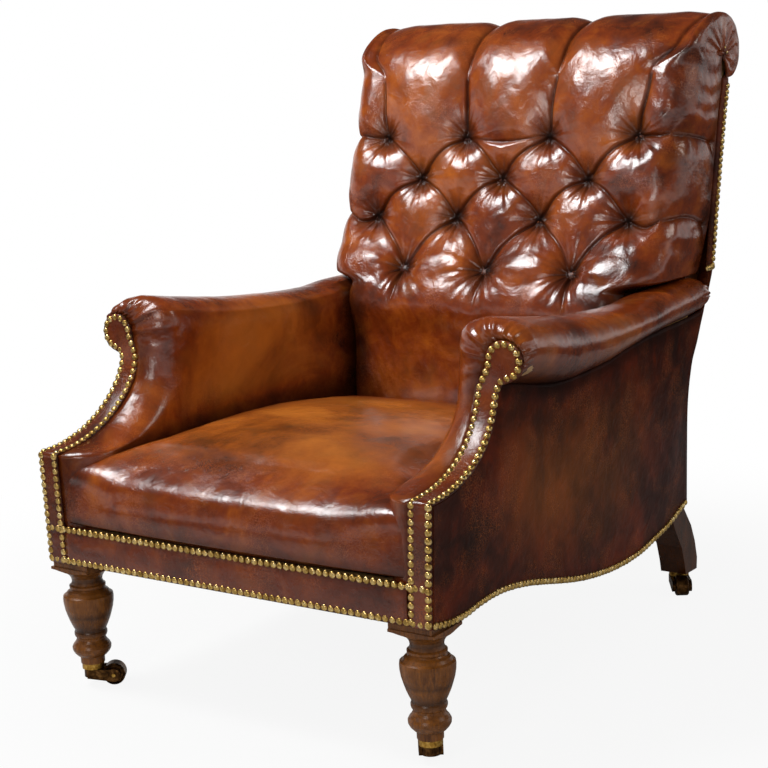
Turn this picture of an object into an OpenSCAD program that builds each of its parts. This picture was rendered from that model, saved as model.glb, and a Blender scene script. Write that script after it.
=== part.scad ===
// Club chair with a deep-buttoned rolled back, scroll arms, turned front legs and four swivel casters.
// Built as a wooden frame with webbing, stuffed pads, leather panels and running gear.
// Heights are above the floor. Depths run from the front of the chair towards its back.

/* [Overall] */
// Height of the top of the back
back_h = 1035; // [1010:1:1060]
// Width across the front, over the side panels
front_w = 730; // [715:1:745]
// Width across the side panels at the foot of the back
rear_w = 626; // [616:1:636]
// Width of the back above the arms
back_w = 700; // [690:1:710]
// Depth of the side panels at the hem
side_d = 896; // [880:1:915]
// Thickness of the leather panels
leather_t = 2.5; // [2:0.1:3]

/* [Seat] */
// Height of the hem, the lower edge of the leather at the front
hem_z = 212; // [206:1:218]
// Height of the front border
border_h = 56; // [50:1:60]
// Height of the corner where the arm facing bends backwards
corner_z = 389; // [382:1:396]
// Rise of the seat's crown over its edges
crown_h = 22; // [10:1:30]

/* [Arms] */
// Height of the arm roll at its front
arm_h = 611; // [600:1:622]
// Width of an arm from the side panel to the inner face
arm_w = 93; // [88:1:98]
// Width of the leather facing on the front of an arm
facing_w = 39; // [36:1:42]
// Thickness of the facing
facing_t = 3; // [2:0.1:4]
// Distance of the arm scroll behind the front
scroll_y = 194; // [180:1:205]
// Radius of the arm scroll
scroll_r = 31; // [29:0.5:33]
// Height of the scroll centre under the top of the roll
scroll_drop = 60; // [56:1:64]
// Distance of the scroll centre outside the side panel
scroll_out = 7; // [4:1:9]
// Reach of the arm roll outside the side panel
roll_out = 43; // [38:1:46]
// Dip of the arm roll behind its front
arm_dip = 41; // [30:1:44]
// Height of the roll's front, from its top to the hollow of its underside
roll_hang = 124; // [118:1:128]

/* [Back] */
// Spacing of the buttons along a row
button_pitch = 173.2; // [168:0.2:176]
// Radius of a button
button_r = 11; // [9:0.5:13]
// Depth of the buttons under the face of the pad
button_sink = 28; // [20:1:32]
// Depth of the pleats between the buttons
pleat_sink = 17; // [8:1:20]
// Depth of the leather strip up the side of the back
strip_w = 27; // [22:1:30]

/* [Wood] */
// Thickness of the seat rails
rail_t = 25; // [22:1:28]
// Width of the corner block on a front leg
block_w = 78; // [74:1:80]
// Length of the turned part of a front leg
turned_h = 138; // [132:1:142]
// Largest radius of a front leg
leg_r = 40.2; // [38:0.2:40.4]
// Width of a rear post
post_w = 50; // [46:1:54]
// Depth of a rear post inside the back
post_d = 52; // [48:1:56]
// Outward lean of the rear posts in degrees
post_lean = 2.3; // [1.8:0.1:2.5]
// Width of an arm rail
arm_rail_w = 44; // [38:1:46]
// Height of an arm rail
arm_rail_h = 40; // [34:1:42]

/* [Casters] */
// Height of the foot of the legs, where the casters start
foot_z = 38; // [37.5:0.1:39]
// Radius of a caster wheel
wheel_r = 18; // [17:0.1:18.2]
// Width of a caster wheel
wheel_w = 23; // [20:0.5:24]
// Distance of the wheel axle from the swivel axis
trail = 34; // [33.5:0.1:36]
// Radius of the brass cup under a leg
cup_r = 17.75; // [17:0.05:18]
// Radius of the swivel stem
stem_r = 5; // [4:0.1:6]
// Radius of the wheel axle
axle_r = 3; // [2.5:0.1:3.5]

/* [Hidden] */

walnut = "#5a3216";
dark_walnut = "#2e1a0e";
beech = "#b08a5a";
chestnut = "#7a3413";
dark_chestnut = "#4a1c0a";
linen = "#b9a27a";
black_cloth = "#232120";
brass = "#a8823c";
bronze = "#6b4a26";

// Clearances between neighbouring pieces
seat_gap = 0.3;
pad_gap = 0.8;
running_gap = 0.05;
cut = 1;

function lerp(a, b, t) = a + (b - a) * t;
function clamp01(t) = min(1, max(0, t));

// Smooth curve through the rows [key, value] of a table
function row_of(table, key, i = 0) =
    (i >= len(table) - 2 || key < table[i + 1][0]) ? i : row_of(table, key, i + 1);
function rise(table, i) =
    let (a = table[max(0, i - 1)], b = table[min(len(table) - 1, i + 1)])
    (b[1] - a[1]) / (b[0] - a[0]);
function along(table, key) =
    let (
        i = row_of(table, key),
        span = table[i + 1][0] - table[i][0],
        u = clamp01((key - table[i][0]) / span),
        from_row = table[i][1],
        to_row = table[i + 1][1]
    )
    from_row * (2 * u * u * u - 3 * u * u + 1) + to_row * (3 * u * u - 2 * u * u * u)
        + span * rise(table, i) * (u * u * u - 2 * u * u + u)
        + span * rise(table, i + 1) * (u * u * u - u * u);

// Closed slab between two grids of points with the same rows and columns
module slab(outer, inner) {
    rows = len(outer);
    cols = len(outer[0]);
    count = rows * cols;
    points = [for (grid = [outer, inner]) for (row = grid) for (p = row) p];
    skins = [
        for (i = [0:rows - 2]) for (j = [0:cols - 2])
            let (a = i * cols + j, b = a + 1, c = a + cols, d = c + 1)
            each [[a, c, b], [b, c, d], [count + a, count + b, count + c], [count + b, count + d, count + c]]
    ];
    ends = [
        for (j = [0:cols - 2])
            let (a = j, b = j + 1, c = (rows - 1) * cols + j, d = c + 1)
            each [[a, b, count + a], [b, count + b, count + a], [c, count + c, d], [d, count + c, count + d]]
    ];
    sides = [
        for (i = [0:rows - 2])
            let (a = i * cols, b = a + cols, c = a + cols - 1, d = c + cols)
            each [[a, count + a, b], [b, count + a, count + b], [c, d, count + c], [d, count + d, count + c]]
    ];
    polyhedron(points, concat(skins, ends, sides));
}

function mean(points) = [for (p = points) 1] * points / len(points);
// Closed loft through rings with the same number of points, capped at both ends
module loft(rings) {
    n = len(rings[0]);
    last = (len(rings) - 1) * n;
    middles = [for (ring = [rings[0], rings[len(rings) - 1]]) mean(ring)];
    points = concat([for (ring = rings) for (p = ring) p], middles);
    walls = [
        for (i = [0:len(rings) - 2]) for (j = [0:n - 1])
            let (a = i * n + j, b = i * n + (j + 1) % n, c = a + n, d = b + n)
            each [[a, c, b], [b, c, d]]
    ];
    caps = [
        for (j = [0:n - 1])
            let (k = (j + 1) % n)
            each [[j, k, last + n], [last + k, last + j, last + n + 1]]
    ];
    polyhedron(points, concat(walls, caps));
}

// Side of the chair: 1 is the right side, -1 the left side
module on_side(side) mirror([side < 0 ? 1 : 0, 0, 0]) children();
// The origin lies under the middle of the chair, so depths are shifted by half of it
module from_front() translate([0, -chair_d / 2, 0]) children();
// Outline of [depth, height] points, spread across the chair from x0 to x1
module across(x0, x1) translate([x0, 0, 0]) rotate([90, 0, 90]) linear_extrude(x1 - x0) children();
// Outline of [width, height] points, spread along the depth from y0 to y1
module deep(y0, y1) translate([0, y1, 0]) rotate([90, 0, 0]) linear_extrude(y1 - y0) children();

// Heights on the back: the part under the arm rolls follows the arms, the rest follows the back
shoulder_share = 0.57;
shoulder_z = arm_h - arm_dip / 2;
function back_z(share) = share < shoulder_share
    ? share / shoulder_share * shoulder_z
    : lerp(shoulder_z, back_h, (share - shoulder_share) / (1 - shoulder_share));
function back_share(z) = z < shoulder_z
    ? z / shoulder_z * shoulder_share
    : shoulder_share + (z - shoulder_z) / (back_h - shoulder_z) * (1 - shoulder_share);

// Rear face of the chair, [height share, depth share]
rear_face_shares = [
    [0.166, 1.002], [0.268, 0.980], [0.357, 0.963], [0.422, 0.966], [0.455, 0.980], [0.505, 0.998],
    [0.548, 1.027], [0.575, 1.041], [0.686, 1.066], [0.834, 1.103], [0.880, 1.118]
];
function rear_y(z) = side_d * along(rear_face_shares, back_share(z));

// Lower edge of the side panels, [depth share, share of the hem's height]
hem_shares = [
    [0.000, 1.000], [0.054, 0.962], [0.105, 0.958], [0.150, 0.976], [0.216, 0.981], [0.287, 0.943],
    [0.358, 0.877], [0.433, 0.797], [0.511, 0.722], [0.594, 0.665], [0.680, 0.632], [0.770, 0.632],
    [0.839, 0.670], [0.915, 0.722], [1.000, 0.825]
];
function side_hem_z(y) = hem_z * along(hem_shares, y / side_d);

// Outer face of the side panels: it narrows to the rear at the hem and less so higher up
flare_z0 = 0.825 * hem_z;
flare_z1 = arm_h - roll_hang + arm_dip * 0.8;
function rear_half(z) = lerp(rear_w / 2, back_w / 2, clamp01((z - flare_z0) / (flare_z1 - flare_z0)));
function side_x(y, z) = lerp(front_w / 2, rear_half(z), y / side_d);
skin_in = leather_t + seat_gap;
// Outer face of the seat frame, upright and straight in plan
function frame_x(y) = side_x(y, 0) - skin_in;
function frame_in_x(y) = frame_x(y) - rail_t;
frame_turn = atan((front_w - rear_w) / 2 / side_d);
rail_top = hem_z + border_h;

// Arm facing: upright to the corner, then a quarter ellipse back and up to the scroll
scroll_z = arm_h - scroll_drop;
scroll_x = front_w / 2 + scroll_out;
arc_z = scroll_z - scroll_r * 0.39;
arc_rise = arc_z - corner_z;
arc_steps = 12;
facing_in = front_w / 2 - facing_w;
arm_in = front_w / 2 - arm_w;
function arc_point(depth, k) =
    let (turn = 90 * k / arc_steps)
    [(scroll_y + depth) * sin(turn), arc_z - (arc_rise + depth) * cos(turn)];
function arc_line(depth) = concat([[depth, corner_z - depth]], [for (k = [1:arc_steps]) arc_point(depth, k)]);
// Height of the facing's arc at a depth
function arc_top(y, depth) =
    let (u = clamp01(y / (scroll_y + depth)))
    arc_z - (arc_rise + depth) * sqrt(1 - u * u);

// Rounding of the pads from the facing's inner edge to the inner face of the arm
round_w = 62;
lean_drop = 46;
function edge_x(z) =
    facing_in + (scroll_x - scroll_r - facing_in) * clamp01((z - scroll_z + lean_drop) / lean_drop);
function from_arc(y, z) =
    let (u = y / scroll_y, v = max(0, arc_z - z) / arc_rise)
    min(y, (norm([u, v]) - 1) * (scroll_y + arc_rise) / 2);
function rounding(t) = sqrt(1 - pow(1 - clamp01(t), 2));
function face_x(y, z) = lerp(edge_x(z), arm_in, rounding(from_arc(y, z) / round_w));

// Arm roll: the drop of its top and of its underside from the front's height, along its length
roll_top_shares = [
    [0.00, 0.00], [0.05, 0.03], [0.25, 0.56], [0.47, 0.90], [0.64, 1.00], [0.73, 0.88], [0.87, 0.78],
    [1.00, 0.62]
];
roll_under_shares = [
    [0.00, 0.76], [0.06, 0.82], [0.24, 1.00], [0.46, 0.98], [0.56, 0.90], [0.67, 0.83], [0.77, 0.80],
    [0.92, 0.76], [1.00, 0.72]
];
arm_end_y = side_d;
function arm_share(y) = clamp01((y - scroll_y) / (arm_end_y - scroll_y));
function roll_top(y) = arm_h - arm_dip * along(roll_top_shares, arm_share(y));
function roll_under(y) = arm_h - roll_hang * along(roll_under_shares, arm_share(y));

// Arm rail inside the roll
arm_cover = 25;
arm_rail_top = arm_h - arm_dip - arm_cover;
arm_rail_z = arm_rail_top - arm_rail_h;
function arm_rail_x(y) = side_x(y, arm_rail_z) - skin_in - seat_gap;
arm_rail_turn = atan((arm_rail_x(0) - arm_rail_x(side_d)) / side_d);

// Rear posts
post_inset = 8.5;
post_out0 = rear_w / 2 - post_inset;
function post_out(z) = post_out0 + (z - foot_z) * tan(post_lean);
post_gap = 2;
function post_back(z) = rear_y(z) - leather_t - post_gap;
function post_front(z) = post_back(z) - post_d;
post_top = back_z(0.845);
foot_w = 50;
foot_reach = 64;
foot_y = side_d + foot_reach;

// Back roll
roll_shares = [
    [0.969, 0.940], [1.055, 0.977], [1.103, 1.000], [1.166, 0.979], [1.1853, 0.922], [1.161, 0.889],
    [1.121, 0.880]
];
chair_d = side_d * 1.1853;
roll_core_r = 38;
roll_core = [side_d * 1.098, back_z(0.922)];

// Casters: [name, leg axis, heading of the trail]
block_proud = 2;
leg_x = front_w / 2 + block_proud - block_w / 2;
leg_y = 0.5 * facing_t + block_w / 2;
foot_x = post_out0 - foot_w / 2;

// Seat rails
rail_y0 = facing_t + seat_gap;
block_in = leg_x - block_w / 2;
side_steps = 40;
hem_line = [for (k = [0:side_steps]) let (y = side_d * k / side_steps) [y, side_hem_z(y)]];

module front_rail() {
    color(beech) from_front() across(-block_in, block_in)
        translate([rail_y0, hem_z]) square([rail_t, border_h]);
}

module rear_rail() {
    low = flare_z0;
    high = low + border_h;
    half = post_out(low) - post_w - seat_gap;
    function back_face(z) = rear_y(z) - leather_t - pad_gap;
    color(beech) from_front() across(-half, half) polygon([
        [back_face(low) - rail_t, low], [back_face(low), low],
        [back_face(high), high], [back_face(high) - rail_t, high]
    ]);
}

module side_rail(side) {
    color(beech) from_front() on_side(side) difference() {
        translate([frame_x(0), 0, 0]) rotate([0, 0, frame_turn])
            across(-rail_t, 0) polygon(concat(hem_line, [[side_d, rail_top], [0, rail_top]]));
        translate([0, -rail_t, 0]) cube([front_w, leg_y + block_w / 2 + rail_t, back_h]);
        behind_posts();
    }
}
module side_rail_left() side_rail(-1);
module side_rail_right() side_rail(1);

module corner_blocks() {
    leg_of_block = 46;
    inset = 6;
    y0 = rail_y0 + rail_t;
    color(beech) from_front() for (side = [-1, 1]) on_side(side)
        translate([0, 0, hem_z + inset]) linear_extrude(border_h - 2 * inset) polygon([
            [block_in, y0], [block_in - leg_of_block, y0], [block_in, y0 + leg_of_block]
        ]);
}

// Turned front leg, [height share, radius share], from the foot up to the square block
turning_shares = [
    [0.000, 0.480], [0.080, 0.485], [0.095, 0.590], [0.130, 0.700], [0.165, 0.765], [0.200, 0.775],
    [0.230, 0.725], [0.262, 0.635], [0.290, 0.585], [0.312, 0.580], [0.330, 0.630], [0.352, 0.655],
    [0.378, 0.655], [0.395, 0.625], [0.415, 0.630], [0.460, 0.705], [0.525, 0.800], [0.595, 0.880],
    [0.665, 0.950], [0.735, 0.990], [0.790, 1.000], [0.825, 0.985], [0.840, 0.900], [0.870, 0.820],
    [0.890, 0.700], [0.905, 0.665], [0.920, 0.715], [0.945, 0.720], [0.962, 0.640], [1.000, 0.600]
];
sleeve_t = 3;
sleeve_r = stem_r + sleeve_t;
sleeve_h = 40;
module front_leg(side) {
    neck_z = foot_z + turned_h;
    neck_r = leg_r * 0.6;
    flare_r = block_w * 0.74;
    flare_h = hem_z - neck_z;
    y0 = leg_y - block_w / 2;
    y1 = leg_y + block_w / 2;
    rebate_z = min(side_hem_z(leg_y), side_hem_z(y1)) - 2 * seat_gap;
    shown = [
        [block_in, y0], [side_x(y0, 0) + block_proud, y0], [side_x(y1, 0) + block_proud, y1], [block_in, y1]
    ];
    covered = [[block_in, rail_y0], [frame_x(rail_y0), rail_y0], [frame_x(y1), y1], [block_in, y1]];
    turning = concat(
        [[0, foot_z]],
        [for (s = turning_shares) [leg_r * s[1], foot_z + turned_h * s[0]]],
        [for (k = [1:6]) let (a = 15 * k)
            [lerp(flare_r, neck_r, cos(a)), neck_z + flare_h * 0.62 * sin(a)]],
        [[flare_r, rail_top], [0, rail_top]]
    );
    color(walnut) from_front() on_side(side) difference() {
        intersection() {
            translate([leg_x, leg_y, 0]) rotate_extrude($fn = 64) polygon(turning);
            union() {
                translate([leg_x, leg_y, foot_z]) cylinder(r = leg_r + cut, h = turned_h, $fn = 64);
                translate([0, 0, neck_z]) linear_extrude(rebate_z - neck_z) polygon(shown);
                translate([0, 0, rebate_z]) linear_extrude(rail_top - rebate_z) polygon(covered);
            }
        }
        translate([leg_x, leg_y, foot_z - cut]) cylinder(r = sleeve_r, h = sleeve_h + cut, $fn = 48);
    }
}
module front_leg_left() front_leg(-1);
module front_leg_right() front_leg(1);

// Rear foot and post in one piece, raked backwards at the foot, [height, depth before or behind the frame]
rake = foot_y - side_d;
post_steps = 28;
foot_back_shares = [[0.90, 0], [0.90, 0.28], [0.72, 0.44], [0.44, 0.60]];
foot_front_shares = [[-0.55, 0.62], [-0.12, 0.44], [0.10, 0.28], [0.20, 0.18], [0.20, 0]];
post_back_edge = [
    for (k = [0:post_steps])
        let (z = lerp(0.78 * hem_z, post_top, k / post_steps)) [post_back(max(z, flare_z0)), z]
];
post_front_edge = concat(
    [for (k = [post_steps:-1:0]) let (p = post_back_edge[k]) [p[0] - post_d, p[1]]],
    [for (s = foot_front_shares) [side_d + rake * s[0], hem_z * s[1]]]
);
module leaning() {
    translate([post_out0, 0, foot_z]) rotate([0, post_lean, 0]) translate([0, 0, -foot_z]) children();
}
module post_shape(widening) leaning() across(-post_w - widening, 0) polygon(concat(
    [for (s = foot_back_shares) [side_d + rake * s[0], hem_z * s[1]]],
    post_back_edge,
    post_front_edge
));
// Everything behind the front faces of the posts
module behind_posts() leaning() across(-front_w, front_w)
    polygon(concat(post_front_edge, [[2 * side_d, 0], [2 * side_d, post_top]]));
foot_mid_y = side_d + 0.55 * (foot_y - side_d);
module rear_post(side) {
    color(dark_walnut) from_front() on_side(side) difference() {
        post_shape(0);
        cube([front_w, 2 * side_d, foot_z]);
        translate([0, 0, post_top - cut]) cube([front_w, 2 * side_d, back_h]);
        translate([foot_x, foot_mid_y, foot_z - cut]) cylinder(r = sleeve_r, h = sleeve_h + cut, $fn = 48);
    }
}
module rear_post_left() rear_post(-1);
module rear_post_right() rear_post(1);

// Facing: side view of the strip, and the outline that the front shows
module facing_side(depth, thickness) {
    inner = arc_line(thickness);
    polygon(concat(
        [[depth, hem_z]],
        arc_line(depth),
        [[scroll_y + depth, arm_h], [scroll_y + thickness, arm_h]],
        [for (k = [arc_steps:-1:0]) inner[k]],
        [[thickness, hem_z]]
    ));
}
module facing_front(inset, outer_x, throat) {
    r = scroll_r - inset;
    low = scroll_z - 0.8 * scroll_r;
    polygon(concat(
        [[facing_in + inset, 0], [outer_x, 0], [outer_x, scroll_z - throat]],
        [for (turn = [-90:10:180]) [scroll_x + r * cos(turn), scroll_z + r * sin(turn)]],
        [[edge_x(low) + inset, low], [facing_in + inset, scroll_z - lean_drop]]
    ));
}
module arm_facing(side) {
    color(chestnut) from_front() on_side(side) intersection() {
        across(0, front_w) facing_side(0, facing_t);
        deep(-cut, scroll_y + 2 * facing_t) facing_front(0, front_w / 2, 1.3 * scroll_r);
    }
}
module arm_facing_left() arm_facing(-1);
module arm_facing_right() arm_facing(1);

// Arm post: the stump behind the facing, with the scroll block at its head
wrap_t = 3.2;
head_depth = 46;
head_back = scroll_y + head_depth;
brace_d = 40;
brace_h = 60;
module arm_post(side) {
    depth = facing_t + seat_gap;
    low_y = leg_y + block_w / 2;
    color(beech) from_front() on_side(side) intersection() {
        across(0, front_w) polygon(concat(
            [[depth, rail_top]],
            arc_line(depth),
            [[scroll_y + depth, arm_h], [head_back, arm_h], [head_back, scroll_z - 2 * scroll_r],
             [low_y + brace_d, corner_z - brace_h], [low_y, rail_top]]
        ));
        deep(-cut, head_back + cut) facing_front(wrap_t, arm_rail_x(head_back), scroll_r - wrap_t);
        union() {
            linear_extrude(scroll_z - 1.2 * scroll_r) polygon([
                [0, 0], [frame_x(0), 0], [frame_x(head_back), head_back], [0, head_back]
            ]);
            translate([0, 0, scroll_z - 1.2 * scroll_r]) cube([front_w, head_back, arm_h]);
        }
    }
}
module arm_post_left() arm_post(-1);
module arm_post_right() arm_post(1);

module arm_rail(side) {
    color(beech) from_front() on_side(side) difference() {
        translate([arm_rail_x(0), 0, 0]) rotate([0, 0, arm_rail_turn]) translate([-arm_rail_w, 0, arm_rail_z])
            cube([arm_rail_w, side_d, arm_rail_h]);
        translate([0, -cut, 0]) cube([front_w, head_back + cut, back_h]);
        behind_posts();
    }
}
module arm_rail_left() arm_rail(-1);
module arm_rail_right() arm_rail(1);

// Cross rails of the back
module between_posts() {
    difference() {
        children();
        for (side = [-1, 1]) on_side(side) translate([post_w / 2 - seat_gap, 0, 0]) post_shape(post_w / 2);
    }
}
lower_rail_share = 0.27;
module back_lower_rail() {
    low = back_z(lower_rail_share);
    high = low + border_h;
    thick = 0.5 * post_d;
    half = post_out(low) - post_w / 2;
    set_back = web_recess + web_t + post_gap / 2;
    color(beech) from_front() between_posts() across(-half, half) polygon([
        [post_front(low) + set_back, low], [post_front(low) + thick, low],
        [post_front(high) + thick, high], [post_front(high) + set_back, high]
    ]);
}

crest_inset = 12;
crest_half = back_w / 2 - crest_inset;
module crest_rail() {
    color(beech) from_front() across(-crest_half, crest_half) union() {
        polygon([
            [post_front(post_top) + seat_gap, post_top - cut], [post_back(post_top), post_top - cut],
            [roll_core[0] + 0.5 * roll_core_r, roll_core[1]], [roll_core[0] - 0.9 * roll_core_r, roll_core[1]]
        ]);
        translate(roll_core) circle(roll_core_r, $fn = 48);
    }
}

// Woven strips: a plate with square holes
module strips(count, from, to, width, length0, length1, upright) {
    for (k = [0:count - 1]) {
        start = lerp(from, to, (k + 0.5) / count) - width / 2;
        translate(upright ? [start, length0] : [length0, start])
            square(upright ? [width, length1 - length0] : [length1 - length0, width]);
    }
}
web_w = 54;
web_t = 2.2;
web_lift = 3;
web_z = hem_z + web_lift;
web_recess = 1.5;
rail_in_y = rail_y0 + rail_t;
rear_in_y = rear_y(flare_z0 + border_h) - leather_t - pad_gap - rail_t - pad_gap;
post_clear_y = post_front(hem_z) - 2 * pad_gap;
post_clear_x = post_out0 - post_w - pad_gap;
function inside_half(y) = frame_in_x(y) - pad_gap;
// Plan of the space inside the seat rails, stepped round the leg blocks and the rear posts
module under_seat(half, y0, block_y, y1) polygon([
    [-half, y0], [half, y0], [half, block_y], [inside_half(block_y), block_y],
    [inside_half(post_clear_y), post_clear_y], [post_clear_x, post_clear_y], [post_clear_x, y1],
    [-post_clear_x, y1], [-post_clear_x, post_clear_y], [-inside_half(post_clear_y), post_clear_y],
    [-inside_half(block_y), block_y], [-half, block_y]
]);
module seat_webbing() {
    color(linen) from_front() translate([0, 0, web_z]) linear_extrude(web_t) intersection() {
        union() {
            strips(6, -block_in, block_in, web_w, rail_in_y, rear_in_y, true);
            strips(7, rail_in_y, rear_in_y, web_w, -front_w / 2, front_w / 2, false);
        }
        under_seat(block_in, rail_in_y, leg_y + block_w / 2 + seat_gap, rear_in_y);
    }
}

module back_webbing() {
    low = back_z(lower_rail_share);
    high = post_top - 2 * cut;
    steps = 10;
    front_edge = [for (k = [0:steps]) let (z = lerp(low, high, k / steps)) [post_front(z) + web_recess, z]];
    sheet = concat(front_edge, [for (k = [steps:-1:0]) let (p = front_edge[k]) [p[0] + web_t, p[1]]]);
    half = post_out(low) - post_w;
    reach = post_out(high) - 0.8 * post_w;
    color(linen) from_front() between_posts() {
        intersection() {
            across(-reach, reach) polygon(sheet);
            deep(0, 2 * side_d) union() {
                strips(5, -half, half, web_w, low, high, true);
                strips(5, low, high, web_w, -reach, reach, false);
            }
        }
    }
}

module dust_cover() {
    sheet_t = 1.5;
    color(black_cloth) from_front() translate([0, 0, hem_z - sheet_t]) linear_extrude(sheet_t)
        under_seat(block_in - seat_gap, rail_y0, leg_y + block_w / 2 + seat_gap, rear_in_y);
}

// Face of the back pad, [height share, depth share]
pad_face_shares = [
    [0.300, 0.774], [0.351, 0.776], [0.454, 0.782], [0.541, 0.788], [0.570, 0.792], [0.579, 0.798],
    [0.618, 0.837], [0.666, 0.862], [0.729, 0.882], [0.798, 0.910], [0.853, 0.926], [0.935, 0.966]
];
pad_low_share = 0.318;
function back_pad_y(share) = side_d * along(pad_face_shares, share);

wedge_top = facing_t + seat_gap;
// Seat pad: it fills the frame above the webbing, spreads over the rails and rises to a crown
seat_edge_shares = [
    [0.00, -0.80], [0.03, -0.65], [0.09, -0.25], [0.16, 0.09], [0.35, 0.36], [0.56, 0.32],
    [0.78, -0.27], [1.00, -1.14]
];
seat_y0 = 1;
seat_y1 = back_pad_y(pad_low_share) - pad_gap;
front_points = 10;
// Depths of the stations round the bend of the arm pads, as shares of the rounding
bend_shares = [0.07, 0.13, 0.21, 0.32, 0.46, 0.65, 0.85, 1.05];
bend_ys = concat([seat_y0, wedge_top], [for (s = bend_shares) round_w * s]);
plain_points = 7;
side_ys = concat(
    bend_ys,
    [for (k = [1:plain_points]) lerp(round_w * 1.05, seat_y1, k / plain_points)]
);
side_points = len(side_ys) - 1;
// Points round the seat, anticlockwise from the front left, given its half widths and its two ends
function seat_ring(y0, y1, half, height) =
    let (
        right = [
            for (k = [0:side_points])
                let (y = lerp(y0, y1, (side_ys[k] - seat_y0) / (seat_y1 - seat_y0))) [half(y), y]
        ],
        front = [for (k = [0:front_points - 1]) [lerp(-1, 1, k / front_points) * right[0][0], y0]],
        rear = [for (k = [1:front_points - 1]) [lerp(1, -1, k / front_points) * right[side_points][0], y1]],
        left = [for (k = [side_points:-1:1]) [-right[k][0], right[k][1]]]
    )
    [for (p = concat(front, right, rear, left)) [p[0], p[1], height(p[0], p[1])]];
function seat_share(y) = clamp01((y - seat_y0) / (seat_y1 - seat_y0));
function seat_edge_z(y) = corner_z + crown_h * along(seat_edge_shares, seat_share(y));
function seat_top(x, y) =
    let (across_share = clamp01(abs(x) / arm_in))
    seat_edge_z(y) + crown_h * (1 - across_share * across_share) * sin(180 * seat_share(y));
module seat_pad() {
    low = web_z + web_t + seat_gap;
    ledge = rail_top + seat_gap;
    edge_r = 30;
    box_y0 = leg_y + block_w / 2 + seat_gap;
    box_y1 = seat_y1 - 2 * pad_gap;
    box = function (y) arm_in - 4 * pad_gap;
    function flat(z) = function (x, y) z;
    function plan(z, in) = function (y) face_x(y, z(y)) - 2 * pad_gap - in;
    function rounded(turn) =
        let (in = edge_r * (1 - cos(turn)), drop = edge_r * (1 - sin(turn)))
        seat_ring(seat_y0 + in, seat_y1 - in * 0.4, plan(function (y) seat_edge_z(y) - drop, in * 0.4),
            function (x, y) seat_top(x, y) - drop);
    rim = rounded(90);
    mid_y = (seat_y0 + seat_y1) / 2;
    function shrunk(share) = [
        for (p = rim) let (x = p[0] * share, y = lerp(mid_y, p[1], share)) [x, y, seat_top(x, y)]
    ];
    rings = concat(
        [
            seat_ring(box_y0, box_y1, box, flat(low)),
            seat_ring(box_y0, box_y1, box, flat(ledge)),
            seat_ring(seat_y0, seat_y1, plan(function (y) ledge, 0), flat(ledge))
        ],
        [
            for (share = [0.3, 0.55, 0.75, 0.9])
                seat_ring(seat_y0, seat_y1, plan(function (y) lerp(ledge, seat_edge_z(y) - edge_r, share), 0),
                    function (x, y) lerp(ledge, seat_top(x, y) - edge_r, share))
        ],
        [for (turn = [0, 30, 60]) rounded(turn)],
        [rim],
        [for (share = [0.8, 0.55, 0.3]) shrunk(share)],
        [[for (p = shrunk(0.06)) [p[0], p[1], seat_top(0, mid_y)]]]
    );
    color(chestnut) from_front() loft(rings);
}

module front_border() {
    color(chestnut) from_front() translate([-facing_in, 0, hem_z])
        cube([2 * facing_in, facing_t, border_h]);
}

// Back pad: stations up the face and round the roll, [height share, button row counted from the lowest]
face_stations = [
    [pad_low_share, -1], [0.400, -1], [0.490, -1], [0.540, -0.45], [0.568, -0.20], [0.578, -0.12],
    [0.592, 0], [0.618, 0.333], [0.644, 0.667], [0.669, 1], [0.692, 1.333], [0.714, 1.667], [0.737, 2],
    [0.760, 2.333], [0.783, 2.667], [0.806, 3], [0.856, 3.6], [0.900, 4]
];
face_count = len(face_stations);
narrow_stations = 5;
pad_path = concat(
    [for (s = face_stations) [back_pad_y(s[0]), back_z(s[0])]],
    [for (s = roll_shares) [side_d * s[0], back_z(s[1])]]
);
station_count = len(pad_path);
roll_turns = [165, 122, 82, 38, -2, -34, -64];
back_edge_r = 14;
back_gap = 9;
function wing_x(z) = max(post_out(z), crest_half) + pad_gap;
function path_in(v) =
    let (a = pad_path[max(0, v - 1)], b = pad_path[min(station_count - 1, v + 1)], d = b - a)
    [d[1], -d[0]] / norm(d);
function row_at(v) = v < face_count ? face_stations[v][1] : 4 + (v - face_count + 1) * 0.3;
// Depth of the surface under the padding's full height
function tuft(x, row) =
    let (
        a = x / button_pitch + min(row, 3) / 2,
        b = x / button_pitch - min(row, 3) / 2,
        puff = sqrt(abs(sin(180 * a) * sin(180 * b))),
        knot = pow(abs(cos(180 * a) * cos(180 * b)), 8),
        fade = row < 0 ? clamp01(1 + 2 * row) : row > 3 ? clamp01(1 - (row - 3) * 0.35) : 1,
        well = row < 0 || row > 3 ? clamp01(1 - 2 * abs(row < 0 ? row : row - 3)) : 1
    )
    fade * pleat_sink * (1 - puff) + well * knot * (button_sink - pleat_sink);
// Inner side of the pad: against the posts, then round the crest rail
function pad_inner(v) =
    let (p = pad_path[v], r = (roll_core_r + pad_gap) / cos(25))
    v < face_count - 2 ? [min(post_front(p[1]), post_front(p[1] + back_gap)) - back_gap, p[1]]
    : v == face_count - 2 ? [post_front(post_top) - back_gap, p[1]]
    : v == face_count - 1 ? [roll_core[0] - roll_core_r - 3 * pad_gap, p[1]]
    : let (turn = roll_turns[v - face_count]) roll_core + r * [cos(turn), sin(turn)];
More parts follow.
